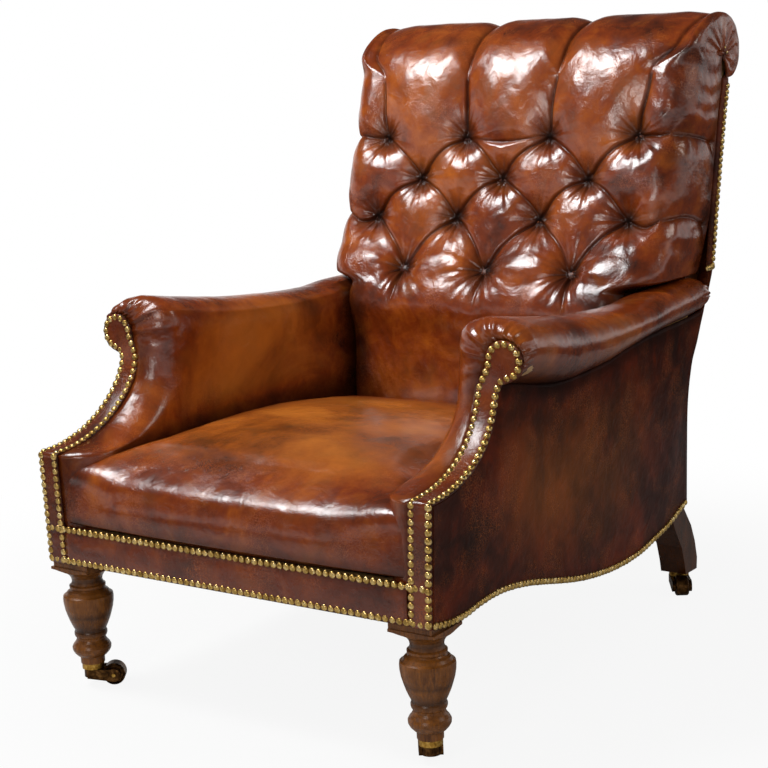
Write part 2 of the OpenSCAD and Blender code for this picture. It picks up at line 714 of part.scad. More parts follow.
// Inner side of the pad outside the posts: against the side strips, then closed at the roll's end
function wing_inner(v) =
    let (p = pad_path[v])
    v <= narrow_stations ? pad_inner(v)
    : v < face_count - 1 ? [rear_y(p[1]) - strip_w - pad_gap, p[1]]
    : lerp(roll_core, pad_inner(v), 0.25);
columns = 9;
function column_x(v, j) =
    let (
        side = j < 0 ? -1 : 1,
        k = abs(j),
        wide = k <= columns ? k * button_pitch / 6
            : k == columns + 1 ? wing_x(pad_path[v][1])
            : k == columns + 2 ? wing_x(pad_path[v][1]) + pad_gap
            : back_w / 2
    )
    side * (v < narrow_stations ? wide * (arm_in - pad_gap) / (back_w / 2) : wide);
module back_pad() {
    reach = columns + 3;
    outer = [
        for (v = [0:station_count - 1]) [
            for (j = [-reach:reach])
                let (
                    x = column_x(v, j),
                    edge = abs(j) == reach ? back_edge_r : 0,
                    p = pad_path[v] + path_in(v) * (v == 0 || v > station_count - 3 ? 0 : tuft(x, row_at(v))),
                    q = abs(j) == reach ? p + (wing_inner(v) - p) * edge / norm(wing_inner(v) - p) : p
                )
                [x, q[0], q[1]]
        ]
    ];
    inner = [
        for (v = [0:station_count - 1]) [
            for (j = [-reach:reach])
                let (q = abs(j) > columns + 1 ? wing_inner(v) : pad_inner(v))
                [column_x(v, j), q[0], q[1]]
        ]
    ];
    color(chestnut) from_front() slab(outer, inner);
}

// Buttons in rows of three and four, each pulled into its hollow by a short shank
button_rows = [6, 9, 12, 15];
module back_buttons() {
    function lift(row) = (row == 0 ? 2 : 1.4) * button_r * button_sink / (button_pitch / 6);
    shank_r = 0.14 * button_r;
    function foot_of_shank(row) =
        shank_r * button_sink / (button_pitch / 6) + (row == 0 ? pad_gap : seat_gap);
    disc = 0.3 * button_r;
    dome = 0.55 * button_r;
    module button(foot, seat) rotate_extrude($fn = 32) polygon(concat(
        [[0, foot], [shank_r, foot], [shank_r, seat], [button_r, seat], [button_r, seat + disc]],
        [for (turn = [18:18:72]) [button_r * cos(turn), seat + disc + (dome - disc) * sin(turn)]],
        [[0, seat + dome]]
    ));
    color(dark_chestnut) from_front() for (v = button_rows) {
        row = row_at(v);
        inward = path_in(v);
        p = pad_path[v] + inward * button_sink;
        for (k = row % 2 == 0 ? [-1, 0, 1] : [-1.5, -0.5, 0.5, 1.5])
            translate([k * button_pitch, p[0], p[1]]) rotate([90 + atan2(inward[1], inward[0]), 0, 0])
                button(foot_of_shank(row), lift(row));
    }
}

// Arm pad: a wedge in front beside the arm post, the long roll, and the end that wraps the rear post
wall_x = facing_in + wrap_t - seat_gap;
roll_round = 42;
face_points = 5;
arm_low = rail_top + seat_gap;
module arm_wedge() {
    ys = concat(bend_ys, [for (k = [3:arc_steps]) arc_point(wedge_top, k)[0]]);
    function wall(y) = y > wedge_top ? wall_x : facing_in - seat_gap;
    steps = 7;
    function level(y, k) = lerp(arm_low, arc_top(y, wedge_top), 1 - pow(1 - k / steps, 1.6));
    outer = [
        for (y = ys) [
            for (k = [0:steps])
                let (z = level(y, k)) [k == steps ? lerp(face_x(y, z), wall(y), 0.7) : face_x(y, z), y, z]
        ]
    ];
    inner = [
        for (y = ys) [
            for (k = [0:steps])
                let (z = level(y, k)) [wall(y), y, k == steps ? lerp(z, level(y, k - 1), 0.3) : z]
        ]
    ];
    slab(outer, inner);
}

function roll_swell(y) = rounding((y - scroll_y) / roll_round);
function roll_reach(y) = side_x(y, flare_z1) + roll_out;
roll_angles = [180, 150, 120, 90, 60, 30, 0, -30, -60];
main_y0 = scroll_y + facing_t + 2 * seat_gap;
main_y1 = post_front(arm_rail_top) - seat_gap;
// Points inside the rear post's outer face stop in front of the post
function before_post(p) =
    p[0] < post_out(p[2]) + pad_gap ? [p[0], min(p[1], post_front(p[2]) - back_gap), p[2]] : p;
module arm_roll() {
    throat = 10;
    hop = 0.5;
    run_y0 = head_back + 2 * hop;
    ys = concat(
        [for (share = [0, 0.07, 0.21, 0.43]) main_y0 + share * roll_round],
        [head_back - throat, head_back + hop, run_y0],
        [for (k = [1:8]) lerp(run_y0, main_y1, k / 8)]
    );
    skin = scroll_r + 0.5 * wrap_t;
    head_r = (scroll_r - wrap_t + pad_gap) / cos(15);
    top_of_rail = arm_rail_top + pad_gap;
    function section(y) =
        let (
            g = roll_swell(y),
            out = lerp(scroll_x + skin, roll_reach(y), g),
            in = lerp(scroll_x - skin, arm_in, g),
            top = lerp(scroll_z + skin, roll_top(y), g),
            under = lerp(scroll_z - skin, roll_under(y), g),
            cx = (out + in) / 2,
            ax = (out - in) / 2,
            cz = lerp(scroll_z, 0.55 * top + 0.45 * under, g),
            face_top = cz - 0.35 * (cz - under)
        )
        concat(
            [for (k = [0:face_points - 1]) let (z = lerp(arm_low, face_top, k / (face_points - 1)))
                [min(face_x(y, z), wall_x - 2 * wrap_t), y, z]],
            [for (a = roll_angles) [cx + ax * cos(a), y, cz + (a >= 0 ? top - cz : cz - under) * sin(a)]],
            [[lerp(cx, out, 0.18), y, under], [arm_rail_x(y) + 2 * pad_gap, y, under]]
        );
    function lining(y) =
        let (
            outline = section(y),
            last = len(outline) - 1,
            under = outline[last][2],
            rail_in = arm_rail_x(y) - arm_rail_w - pad_gap,
            rail_out = arm_rail_x(y) + pad_gap,
            by_head = y < head_back + 1.5 * hop,
            wall = y < head_back - 1.2 * throat ? wall_x : rail_in,
            end_z = by_head ? scroll_z - head_r : under + 0.3 * (top_of_rail - under)
        )
        concat(
            [for (k = [0:face_points - 1]) [wall, y, min(outline[k][2], arm_rail_z + arm_rail_h / 2)]],
            [for (k = [0:len(roll_angles) - 1]) let (a = roll_angles[k])
                by_head ? (k == 0 && y > head_back - 1.2 * throat
                    ? [wall, y, scroll_z]
                    : [scroll_x + head_r * cos(a), y, scroll_z + head_r * sin(a)])
                : k < 2 ? [rail_in, y, lerp(arm_rail_z + 0.8 * arm_rail_h, top_of_rail, k)]
                : k < 6 ? [lerp(rail_in, rail_out, (k - 1) / 4), y, top_of_rail]
                : [rail_out, y, lerp(top_of_rail, end_z, (k - 5) / 5)]],
            by_head
                ? [[scroll_x, y, end_z], [rail_out, y, end_z]]
                : [[rail_out, y, lerp(top_of_rail, end_z, 0.8)], [rail_out, y, end_z]]
        );
    slab(
        [for (y = ys) [for (p = section(y)) before_post(p)]],
        [for (y = ys) [for (p = lining(y)) before_post(p)]]
    );
}

module arm_tail() {
    y0 = main_y1 + 2 * seat_gap;
    steps = 5;
    points_round = 14;
    function ring(t) =
        let (
            swell = 1 - 0.35 * pow(t, 3),
            y_at = lerp(y0, side_d, t),
            in = post_out(shoulder_z) + pad_gap,
            out = roll_reach(y_at),
            top = roll_top(y_at),
            under = roll_under(y_at) + pad_gap,
            mid_z = lerp(top, under, 0.45)
        )
        [for (k = [0:points_round - 1])
            let (
                a = 90 - 360 * k / points_round,
                x = lerp(in, out, 0.5) + (out - in) / 2 * cos(a) * swell,
                z = mid_z + (sin(a) > 0 ? top - mid_z : mid_z - under) * sin(a) * swell
            )
            [x, lerp(y0, rear_y(z) - skin_in - post_gap, t), z]];
    loft([for (k = [0:steps]) ring(k / steps)]);
}

module arm_pad(side) {
    color(chestnut) from_front() on_side(side) {
        arm_wedge();
        arm_roll();
        arm_tail();
    }
}
module arm_pad_left() arm_pad(-1);
module arm_pad_right() arm_pad(1);

// Outside arm: a thin leather panel from the facing to the rear edge, hem to roll
module outside_arm(side) {
    rows = 10;
    front_end = facing_t + seat_gap;
    bend_y = main_y1;
    arc_ys = [for (k = [1:arc_steps - 1]) arc_point(front_end, k)[0]];
    plain_ys = [for (k = [0:11]) lerp(main_y0 + leather_t, bend_y, k / 11)];
    rear_ys = [for (k = [1:3]) lerp(bend_y, side_d, k / 3)];
    ys = concat([front_end], arc_ys, plain_ys, rear_ys);
    function high(y) = min(
        arc_top(y, front_end) + (y < scroll_y ? 0 : arm_h),
        roll_under(max(y, scroll_y)) - pad_gap,
        y < head_back ? scroll_z - scroll_r - wrap_t : arm_h
    );
    function at(y, z) = y <= bend_y ? y
        : lerp(bend_y, rear_y(z) - leather_t - post_gap, (y - bend_y) / (side_d - bend_y));
    function grid(depth) = [
        for (y = ys) [
            for (j = [0:rows])
                let (z = lerp(side_hem_z(y), high(y), j / rows), py = at(y, z))
                [side_x(py, z) - depth, py, z]
        ]
    ];
    color(chestnut) from_front() on_side(side) slab(grid(leather_t), grid(0));
}
module outside_arm_left() outside_arm(-1);
module outside_arm_right() outside_arm(1);

// Outside back: a leather panel from the rear rail up to the underside of the roll
back_top_z = back_z(0.872);
module outside_back() {
    rows = 32;
    reach = 3;
    function grid(depth) = [
        for (k = [0:rows])
            let (z = lerp(flare_z0, back_top_z, k / rows))
            [for (j = [-reach:reach]) [rear_half(z) * j / reach, rear_y(z) - depth, z]]
    ];
    color(chestnut) from_front() slab(grid(leather_t), grid(0));
}

module back_strip(side) {
    rows = 20;
    low = shoulder_z + pad_gap;
    function grid(depth) = [
        for (k = [0:rows])
            let (z = lerp(low, back_top_z, k / rows), y = rear_y(z))
            [
                [back_w / 2 - depth, y - strip_w + pad_gap, z],
                [back_w / 2 - depth, y - leather_t - 2 * seat_gap, z]
            ]
    ];
    color(chestnut) from_front() on_side(side) slab(grid(0), grid(leather_t));
}
module back_strip_left() back_strip(-1);
module back_strip_right() back_strip(1);

// Casters
cup_h = 9.5;
sleeve_end = cup_h + sleeve_h;
cup_z = foot_z - cup_h;
horn_r = 15;
horn_top = cup_z - seat_gap;
horn_h = 6.2;
cheek_t = 5.5;
cheek_gap = 0.5;
cheek_in = wheel_w / 2 + cheek_gap;
wheel_clear = 1.5;
module at_caster(x, y, heading) from_front() translate([x, y, 0]) rotate([0, 0, heading]) children();

module caster_cup() {
    color(brass) difference() {
        union() {
            translate([0, 0, cup_z]) cylinder(r = cup_r, h = cup_h, $fn = 64);
            translate([0, 0, cup_z]) cylinder(r = sleeve_r - running_gap, h = sleeve_end - cut, $fn = 48);
        }
        translate([0, 0, cup_z - cut]) cylinder(r = stem_r + running_gap, h = sleeve_end - 2 * cut, $fn = 48);
    }
}

module caster_horn() {
    axle_z = wheel_r;
    neck_low = wheel_r - 0.2 * wheel_r;
    color(bronze) difference() {
        union() {
            translate([0, 0, horn_top - horn_h]) cylinder(r = horn_r, h = horn_h, $fn = 64);
            translate([0, 0, horn_top - horn_h])
                cylinder(r = stem_r, h = horn_h + seat_gap + sleeve_end - 4 * cut, $fn = 48);
            intersection() {
                translate([0, 0, neck_low]) cylinder(r = horn_r, h = horn_top - neck_low, $fn = 64);
                translate([-horn_r, -cheek_in - cheek_t, neck_low])
                    cube([horn_r, 2 * (cheek_in + cheek_t), horn_top]);
            }
            for (y = [-cheek_in - cheek_t, cheek_in]) deep(y, y + cheek_t) {
                polygon([
                    [-0.55 * horn_r, horn_top], [-0.55 * horn_r, neck_low],
                    [trail - 0.2 * wheel_r, axle_z - 0.56 * wheel_r],
                    [trail + 0.25 * wheel_r, axle_z + 0.54 * wheel_r], [horn_r, horn_top]
                ]);
                translate([trail, axle_z]) circle(0.6 * wheel_r, $fn = 48);
            }
        }
        translate([trail, cheek_in, axle_z]) rotate([90, 0, 0])
            cylinder(r = wheel_r + wheel_clear, h = 2 * cheek_in, $fn = 64);
        translate([trail, front_w, axle_z]) rotate([90, 0, 0])
            cylinder(r = axle_r, h = 2 * front_w, $fn = 48);
    }
}

module caster_axle() {
    half = cheek_in + cheek_t;
    color(brass) translate([trail, half, wheel_r]) rotate([90, 0, 0])
        cylinder(r = axle_r, h = 2 * half, $fn = 48);
}

// Wheel with rounded edges and a raised hub on both faces
module caster_wheel() {
    half = wheel_w / 2;
    edge = 0.12 * wheel_r;
    dish = 0.1 * wheel_w;
    hub_r = 0.42 * wheel_r;
    rim_r = 0.78 * wheel_r;
    bore_r = axle_r + running_gap;
    color(bronze) translate([trail, 0, wheel_r]) rotate([90, 0, 0]) rotate_extrude($fn = 64) polygon([
        [bore_r, -half], [hub_r, -half], [hub_r + edge, -half + dish], [rim_r, -half + dish],
        [rim_r + edge, -half],
        [wheel_r - edge, -half], [wheel_r, -half + edge], [wheel_r, half - edge], [wheel_r - edge, half],
        [rim_r + edge, half], [rim_r, half - dish], [hub_r + edge, half - dish], [hub_r, half], [bore_r, half]
    ]);
}

front_left_heading = 35.5;
front_right_heading = 125.6;
rear_left_heading = 215;
rear_right_heading = -56;
module at_front_left() at_caster(-leg_x, leg_y, front_left_heading) children();
module at_front_right() at_caster(leg_x, leg_y, front_right_heading) children();
module at_rear_left() at_caster(-foot_x, foot_mid_y, rear_left_heading) children();
module at_rear_right() at_caster(foot_x, foot_mid_y, rear_right_heading) children();

module front_left_cup() at_front_left() caster_cup();
module front_left_horn() at_front_left() caster_horn();
module front_left_axle() at_front_left() caster_axle();
module front_left_wheel() at_front_left() caster_wheel();
module front_right_cup() at_front_right() caster_cup();
module front_right_horn() at_front_right() caster_horn();
module front_right_axle() at_front_right() caster_axle();
module front_right_wheel() at_front_right() caster_wheel();
module rear_left_cup() at_rear_left() caster_cup();
module rear_left_horn() at_rear_left() caster_horn();
module rear_left_axle() at_rear_left() caster_axle();
module rear_left_wheel() at_rear_left() caster_wheel();
module rear_right_cup() at_rear_right() caster_cup();
module rear_right_horn() at_rear_right() caster_horn();
module rear_right_axle() at_rear_right() caster_axle();
module rear_right_wheel() at_rear_right() caster_wheel();

front_rail();
rear_rail();
side_rail_left();
side_rail_right();
corner_blocks();
front_leg_left();
front_leg_right();
rear_post_left();
rear_post_right();
arm_post_left();
arm_post_right();
arm_rail_left();
arm_rail_right();
back_lower_rail();
crest_rail();
seat_webbing();
back_webbing();
dust_cover();
seat_pad();
back_pad();
back_buttons();
arm_pad_left();
arm_pad_right();
front_border();
arm_facing_left();
arm_facing_right();
outside_arm_left();
outside_arm_right();
outside_back();
back_strip_left();
back_strip_right();
front_left_cup();
front_left_horn();
front_left_axle();
front_left_wheel();
front_right_cup();
front_right_horn();
front_right_axle();
front_right_wheel();
rear_left_cup();
rear_left_horn();
rear_left_axle();
rear_left_wheel();
rear_right_cup();
rear_right_horn();
rear_right_axle();
rear_right_wheel();
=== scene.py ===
"""Club chair: leather, wood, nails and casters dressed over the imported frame."""

import math

import bmesh
import bpy
import numpy as np
from mathutils import Matrix, Vector

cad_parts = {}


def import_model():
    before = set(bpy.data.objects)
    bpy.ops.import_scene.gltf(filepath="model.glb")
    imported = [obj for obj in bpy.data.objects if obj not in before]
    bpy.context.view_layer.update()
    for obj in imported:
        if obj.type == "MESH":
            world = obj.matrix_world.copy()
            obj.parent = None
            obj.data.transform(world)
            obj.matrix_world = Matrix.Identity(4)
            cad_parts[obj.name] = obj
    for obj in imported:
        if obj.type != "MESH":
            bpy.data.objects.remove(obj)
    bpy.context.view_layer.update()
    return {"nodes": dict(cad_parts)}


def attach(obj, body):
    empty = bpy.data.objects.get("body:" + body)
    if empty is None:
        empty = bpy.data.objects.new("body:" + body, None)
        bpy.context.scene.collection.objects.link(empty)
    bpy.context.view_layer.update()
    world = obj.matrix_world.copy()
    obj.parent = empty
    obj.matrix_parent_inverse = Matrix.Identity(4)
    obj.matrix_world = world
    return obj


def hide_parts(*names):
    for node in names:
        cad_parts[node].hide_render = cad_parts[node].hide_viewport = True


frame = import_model()

# Chair depths below run in millimetres from the front towards the back, as an upholsterer measures them
HALF_DEPTH = 531.0144
BODY = "chair"
# Depth of the frame; half widths at the front, the rear of the hem and the back; lower edges front and rear
DEPTH, FRONT_HALF, REAR_HALF, BACK_HALF, HEM_Z, REAR_HEM_Z = 896.0, 365.0, 313.0, 350.0, 212.0, 174.9


# Shapes of the chair
def curve(table, key):
    """Smooth curve through rows (key, value)."""
    t = np.array(table, float)
    k = np.clip(np.asarray(key, float), t[0, 0], t[-1, 0])
    i = np.clip(np.searchsorted(t[:, 0], k, side="right") - 1, 0, len(t) - 2)
    rise = np.zeros(len(t))
    rise[1:-1] = (t[2:, 1] - t[:-2, 1]) / (t[2:, 0] - t[:-2, 0])
    rise[0] = (t[1, 1] - t[0, 1]) / (t[1, 0] - t[0, 0])
    rise[-1] = (t[-1, 1] - t[-2, 1]) / (t[-1, 0] - t[-2, 0])
    span = t[i + 1, 0] - t[i, 0]
    u = (k - t[i, 0]) / span
    return (t[i, 1] * (2 * u**3 - 3 * u**2 + 1) + t[i + 1, 1] * (3 * u**2 - 2 * u**3)
            + span * rise[i] * (u**3 - 2 * u**2 + u) + span * rise[i + 1] * (u**3 - u**2))


def smooth(a, b, x):
    """Soft step from 0 at a to 1 at b."""
    t = np.clip((np.asarray(x, float) - a) / (b - a), 0, 1)
    return t * t * (3 - 2 * t)


# Lower edge of a side panel as (depth, height), and the rear line of the chair as (height, depth)
HEM = [(0, 212), (48, 204), (94, 203), (134, 207), (194, 208), (257, 200), (321, 186), (388, 169), (458, 153),
       (532, 141), (609, 134), (690, 134), (752, 142), (820, 153), (896, 175)]
REAR_ROWS = [(175, 897.8), (277, 878), (370, 863), (437, 865.5), (471, 878), (523, 894.2), (567.7, 920.2),
             (595.7, 932.7), (710.4, 955), (863.4, 988.3), (911, 1001.7)]
# The scroll's centre and radius, and the arc of the arm's front below it
SCROLL_Y, SCROLL_X, SCROLL_Z, SCROLL_R = 194.0, 372.0, 551.0, 31.0
ARC_Z, ARC_RISE, CORNER_Z = 538.9, 149.9, 389.0
# How far the roll's underside and its top drop along its length
ROLL_TOP_Z = 611
UNDER_DROP = [(0, .76), (.06, .82), (.24, 1), (.46, .98), (.56, .9), (.67, .83), (.77, .8), (.92, .76),
              (1, .72)]
TOP_DROP = [(0, 0), (.05, .03), (.25, .56), (.47, .9), (.64, 1), (.73, .88), (.87, .78), (1, .62)]


def side_x(y, z):
    """Outer face of a side panel: it narrows to the rear at the hem and less so higher up."""
    rear_half = REAR_HALF + (BACK_HALF - REAR_HALF) * np.clip((z - REAR_HEM_Z) / (519.8 - REAR_HEM_Z), 0, 1)
    return FRONT_HALF + (rear_half - FRONT_HALF) * np.asarray(y, float) / DEPTH


def along_roll(y):
    return np.clip((np.asarray(y, float) - SCROLL_Y) / (DEPTH - SCROLL_Y), 0, 1)


def roll_under(y):
    return ROLL_TOP_Z - 124 * curve(UNDER_DROP, along_roll(y))


# Meshes
def placed(points):
    """Millimetres in chair depths to metres in the frame of the model."""
    p = np.array(points, float).reshape(-1, 3)
    p[:, 1] -= HALF_DEPTH
    return p * 0.001


def linked(name, data):
    obj = bpy.data.objects.new(name, data)
    bpy.context.collection.objects.link(obj)
    return obj


def set_painted_shade_light_and_wear(obj, values):
    """1 is painted shade deep in a fold, -1 fully rubbed dye with painted light; the leather's colour and gloss
    follow it.
    """
    a = obj.data.attributes.get("fold") or obj.data.attributes.new("fold", "FLOAT", "POINT")
    a.data.foreach_set("value", np.asarray(values, np.float32).ravel())


def new_object(name, verts, faces, smooth_faces=True, fold=None):
    mesh = bpy.data.meshes.new(name)
    mesh.from_pydata([tuple(v) for v in verts], [], [tuple(f) for f in faces])
    mesh.update()
    if smooth_faces:
        mesh.shade_smooth()
    obj = linked(name, mesh)
    if fold is not None:
        set_painted_shade_light_and_wear(obj, fold)
    return obj


def grid_faces(rows, cols, flip=False):
    faces = []
    for i in range(rows - 1):
        for j in range(cols - 1):
            a, b = i * cols + j, i * cols + j + 1
            f = (a, b, b + cols, a + cols)
            faces.append(f[::-1] if flip else f)
    return faces


def grid_object(name, points, outward, at=(0.5, 0.5), fold=None):
    """A sheet from a grid of points; its faces look along outward at the given place of the grid."""
    rows, cols = points.shape[:2]
    i, j = int(at[0] * (rows - 2)), int(at[1] * (cols - 2))
    look = np.cross(points[i, j + 1] - points[i, j], points[i + 1, j] - points[i, j])
    flip = float(np.dot(look, outward)) < 0
    return new_object(name, placed(points), grid_faces(rows, cols, flip), fold=fold)


def modified(obj, name, kind, **settings):
    m = obj.modifiers.new(name, kind)
    for key, value in settings.items():
        setattr(m, key, value)
    return m


def settled(obj):
    """The object with its modifiers turned into plain mesh."""
    dg = bpy.context.evaluated_depsgraph_get()
    mesh = bpy.data.meshes.new_from_object(obj.evaluated_get(dg))
    obj.modifiers.clear()
    old = obj.data
    obj.data = mesh
    if old.users == 0:
        bpy.data.meshes.remove(old)
    return obj


def thickened(obj, thickness, offset=-1.0):
    modified(obj, "Leather thickness", "SOLIDIFY", thickness=thickness * 0.001, offset=offset,
             use_even_offset=False)
    return settled(obj)


def copy_of(node, name):
    """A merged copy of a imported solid; the solid itself is left alone."""
    bm = bmesh.new()
    bm.from_mesh(frame["nodes"][node].data)
    bmesh.ops.remove_doubles(bm, verts=bm.verts, dist=1e-5)
    mesh = bpy.data.meshes.new(name)
    bm.to_mesh(mesh)
    bm.free()
    mesh.materials.clear()
    return linked(name, mesh)


def vertex_values(mesh, field="co"):
    values = np.zeros(len(mesh.vertices) * 3, np.float32)
    mesh.vertices.foreach_get(field, values)
    return values.reshape(-1, 3).astype(float)


def set_coords(obj, co):
    obj.data.vertices.foreach_set("co", np.asarray(co, np.float32).ravel())
    obj.data.update()


# Thin hide that stretches little, blown up by the stuffing under it
STUFFING = dict(quality=5, mass=0.3, use_pressure=True, uniform_pressure_force=4, tension_stiffness=40,
                compression_stiffness=40, shear_stiffness=20, bending_stiffness=6)


def stuffed(obj, voxel, passes, inset, swell, frames=20):
    """The cover is remeshed, rounded, drawn in and blown up by its stuffing as cloth; lengths in mm."""
    modified(obj, "Cover", "REMESH", mode="VOXEL", voxel_size=voxel * 0.001, use_smooth_shade=True)
    modified(obj, "Rounding", "SMOOTH", factor=0.5, iterations=passes)
    settled(obj)
    start = vertex_values(obj.data) - vertex_values(obj.data, "normal") * inset * 0.001
    set_coords(obj, start)
    cloth = obj.modifiers.new("Stuffing", "CLOTH")
    for key, value in STUFFING.items():
        setattr(cloth.settings, key, value)
    cloth.settings.effector_weights.gravity = 0
    cloth.collision_settings.use_collision = False
    scene = bpy.context.scene
    for f in range(1, frames + 1):
        scene.frame_set(f)
    blown_up = obj.evaluated_get(bpy.context.evaluated_depsgraph_get())
    move = vertex_values(blown_up.data) - start
    obj.modifiers.clear()
    scene.frame_set(1)
    reach = np.linalg.norm(move, axis=1, keepdims=True)
    move *= np.where(reach > 1e-9, np.minimum(reach, swell * 0.001) / np.maximum(reach, 1e-9), 0)
    set_coords(obj, start + move)
    modified(obj, "Cover smoothing", "SMOOTH", factor=0.5, iterations=4)
    modified(obj, "Cover surface", "SUBSURF", levels=1, render_levels=1)
    settled(obj)
    obj.data.shade_smooth()
    return obj


# Materials
def srgb(code):
    """sRGB hex value to linear colour."""
    c = [int(code[i:i + 2], 16) / 255 for i in (1, 3, 5)]
    return tuple(x / 12.92 if x <= 0.04045 else ((x + 0.055) / 1.055) ** 2.4 for x in c) + (1.0,)


def plug(tree, socket, value):
    """Links another node's output to a socket, or gives the socket a value of its own."""
    if hasattr(value, "links"):
        tree.links.new(value, socket)
    else:
        socket.default_value = value


def add_node(tree, kind, sockets=None, **settings):
    """One node with its settings and what its sockets get: values or other nodes' outputs."""
    n = tree.nodes.new(kind)
    for key, value in settings.items():
        setattr(n, key, value)
    for key, value in (sockets or {}).items():
        plug(tree, n.inputs[key], value)
    return n


def maths(t, operation, a, b):
    return add_node(t, "ShaderNodeMath", {0: a, 1: b}, operation=operation).outputs[0]


def spread(t, value, low, high, to_low=0.0, to_high=1.0, kind="LINEAR"):
    """Carries a value from the span low to high over to another span."""
    spans = {"Value": value, "From Min": low, "From Max": high, "To Min": to_low, "To Max": to_high}
    return add_node(t, "ShaderNodeMapRange", spans, interpolation_type=kind).outputs[0]


def ramp(t, source, stops):
    n = add_node(t, "ShaderNodeValToRGB", {"Fac": source})
    e = n.color_ramp.elements
    while len(e) < len(stops):
        e.new(0.5)
    for item, (pos, colour) in zip(e, stops):
        item.position = pos
        item.color = srgb(colour) if isinstance(colour, str) else (colour, colour, colour, 1)
    return n.outputs["Color"]


def mix(t, fac, a, b, blend="MIX"):
    return add_node(t, "ShaderNodeMix", {0: fac, 6: a, 7: b}, data_type="RGBA", blend_type=blend).outputs[2]


def noise(t, where, across_mm, detail=4.0, rough=0.55, distort=0.0, offset=None, output="Fac"):
    """Noise whose blobs are about across_mm wide."""
    if offset is not None:
        where = add_node(t, "ShaderNodeMapping", {"Location": offset, "Vector": where}).outputs[0]
    sockets = {"Scale": 1000.0 / across_mm, "Detail": detail, "Roughness": rough, "Distortion": distort,
               "Vector": where}
    return add_node(t, "ShaderNodeTexNoise", sockets).outputs[output]


def bump(t, strength, distance, height, under=None, **settings):
    """Relief of a depth in metres, over the relief given as under."""
    sockets = {"Strength": strength, "Distance": distance, "Height": height}
    if under is not None:
        sockets["Normal"] = under
    return add_node(t, "ShaderNodeBump", sockets, **settings).outputs[0]


def principled(t, colour, **sockets):
    named = {key.replace("_", " "): value for key, value in sockets.items()}
    return add_node(t, "ShaderNodeBsdfPrincipled", {"Base Color": colour, **named})


def material(name, surface):
    """A material from a function that builds its shader out of the place on the object."""
    m = bpy.data.materials.new(name)
    m.use_nodes = True
    t = m.node_tree
    t.nodes.clear()
    shader = surface(t, add_node(t, "ShaderNodeTexCoord").outputs["Object"])
    add_node(t, "ShaderNodeOutputMaterial", {"Surface": shader.outputs[0]})
    return m


def leather(tint_dark, tint_mid, tint_light, gloss, shine):
    """Waxed aniline cowhide: orange crowns of rubbed dye and painted light, near-black painted shade in folds,
    hair-fine cracks.
    """
    def surface(t, where):
        fold = add_node(t, "ShaderNodeAttribute", attribute_name="fold").outputs["Fac"]
        cloud = noise(t, where, 190, 5, 0.6, 0.6)
        patch = noise(t, where, 46, 6, 0.62, 0.4, (3.1, 1.7, 0.4))
        body = ramp(t, cloud, [(0.34, tint_dark), (0.50, tint_mid), (0.70, tint_light)])
        rubbed = ramp(t, patch, [(0.34, tint_dark), (0.52, tint_mid), (0.74, tint_light)])
        colour = mix(t, 0.42, body, rubbed)
        # Crackle of old hide: polygons about 4 mm across, with lines about 0.5 mm wide
        bent = mix(t, 0.02, where, noise(t, where, 22, 3, 0.5, output="Color"))
        edges = "DISTANCE_TO_EDGE"
        cells = add_node(t, "ShaderNodeTexVoronoi", {"Scale": 250.0, "Vector": bent}, feature=edges)
        line = ramp(t, cells.outputs["Distance"], [(0.0, 1.0), (0.07, 0.0)])
        presence = ramp(t, noise(t, where, 70, 3, 0.5, 0, (0.3, 5.2, 2.2)), [(0.48, 0.0), (0.62, 1.0)])
        shown = mix(t, 1.0, line, presence, "MULTIPLY")
        colour = mix(t, mix(t, 1.0, shown, (0.40, 0.40, 0.40, 1), "MULTIPLY"), colour, srgb("#c2672a"))
        # Below 0 the fold value lightens the colour to orange: dye rubbed away by hands and clothes, and
        # painted light
        uneven = ramp(t, cloud, [(0.34, 0.25), (0.62, 1.0)])
        rubbed_dye_and_painted_light = mix(t, 1.0, spread(t, fold, 0.0, -1.0), uneven, "MULTIPLY")
        colour = mix(t, rubbed_dye_and_painted_light, colour, mix(t, 0.65, colour, srgb("#cd7a2b")))
        # Above 0 the fold value darkens the colour to near black: painted shade in folds, wells, edges and
        # under the roll
        shade = ramp(t, fold, [(0.0, 0.0), (0.35, 0.45), (1.0, 1.0)])
        colour = mix(t, shade, colour, srgb("#120502"))
        # Grain, pores and soft dents, with the cracks cut in
        relief = bump(t, 0.16, 0.0006, noise(t, where, 1.6, 3, 0.6))
        relief = bump(t, 0.25, 0.0012, noise(t, where, 6.5, 3, 0.55, 0.2, (1.0, 2.0, 3.0)), relief)
        relief = bump(t, 0.35, 0.004, noise(t, where, 30, 3, 0.5, 0.6, (5.0, 1.0, 2.0)), relief)
        relief = bump(t, 0.25, 0.0005, shown, relief, invert=True)
        worn = ramp(t, patch, [(0.3, gloss + 0.08), (0.7, gloss - 0.02)])
        waxed = principled(t, colour, Roughness=worn, Normal=relief, IOR=1.5, Specular_IOR_Level=shine)
        # No polish reaches the bottom of a fold
        dull = principled(t, colour, Roughness=0.7, Normal=relief, Specular_IOR_Level=0.04)
        return add_node(t, "ShaderNodeMixShader", {0: shade, 1: waxed.outputs[0], 2: dull.outputs[0]})
    return surface


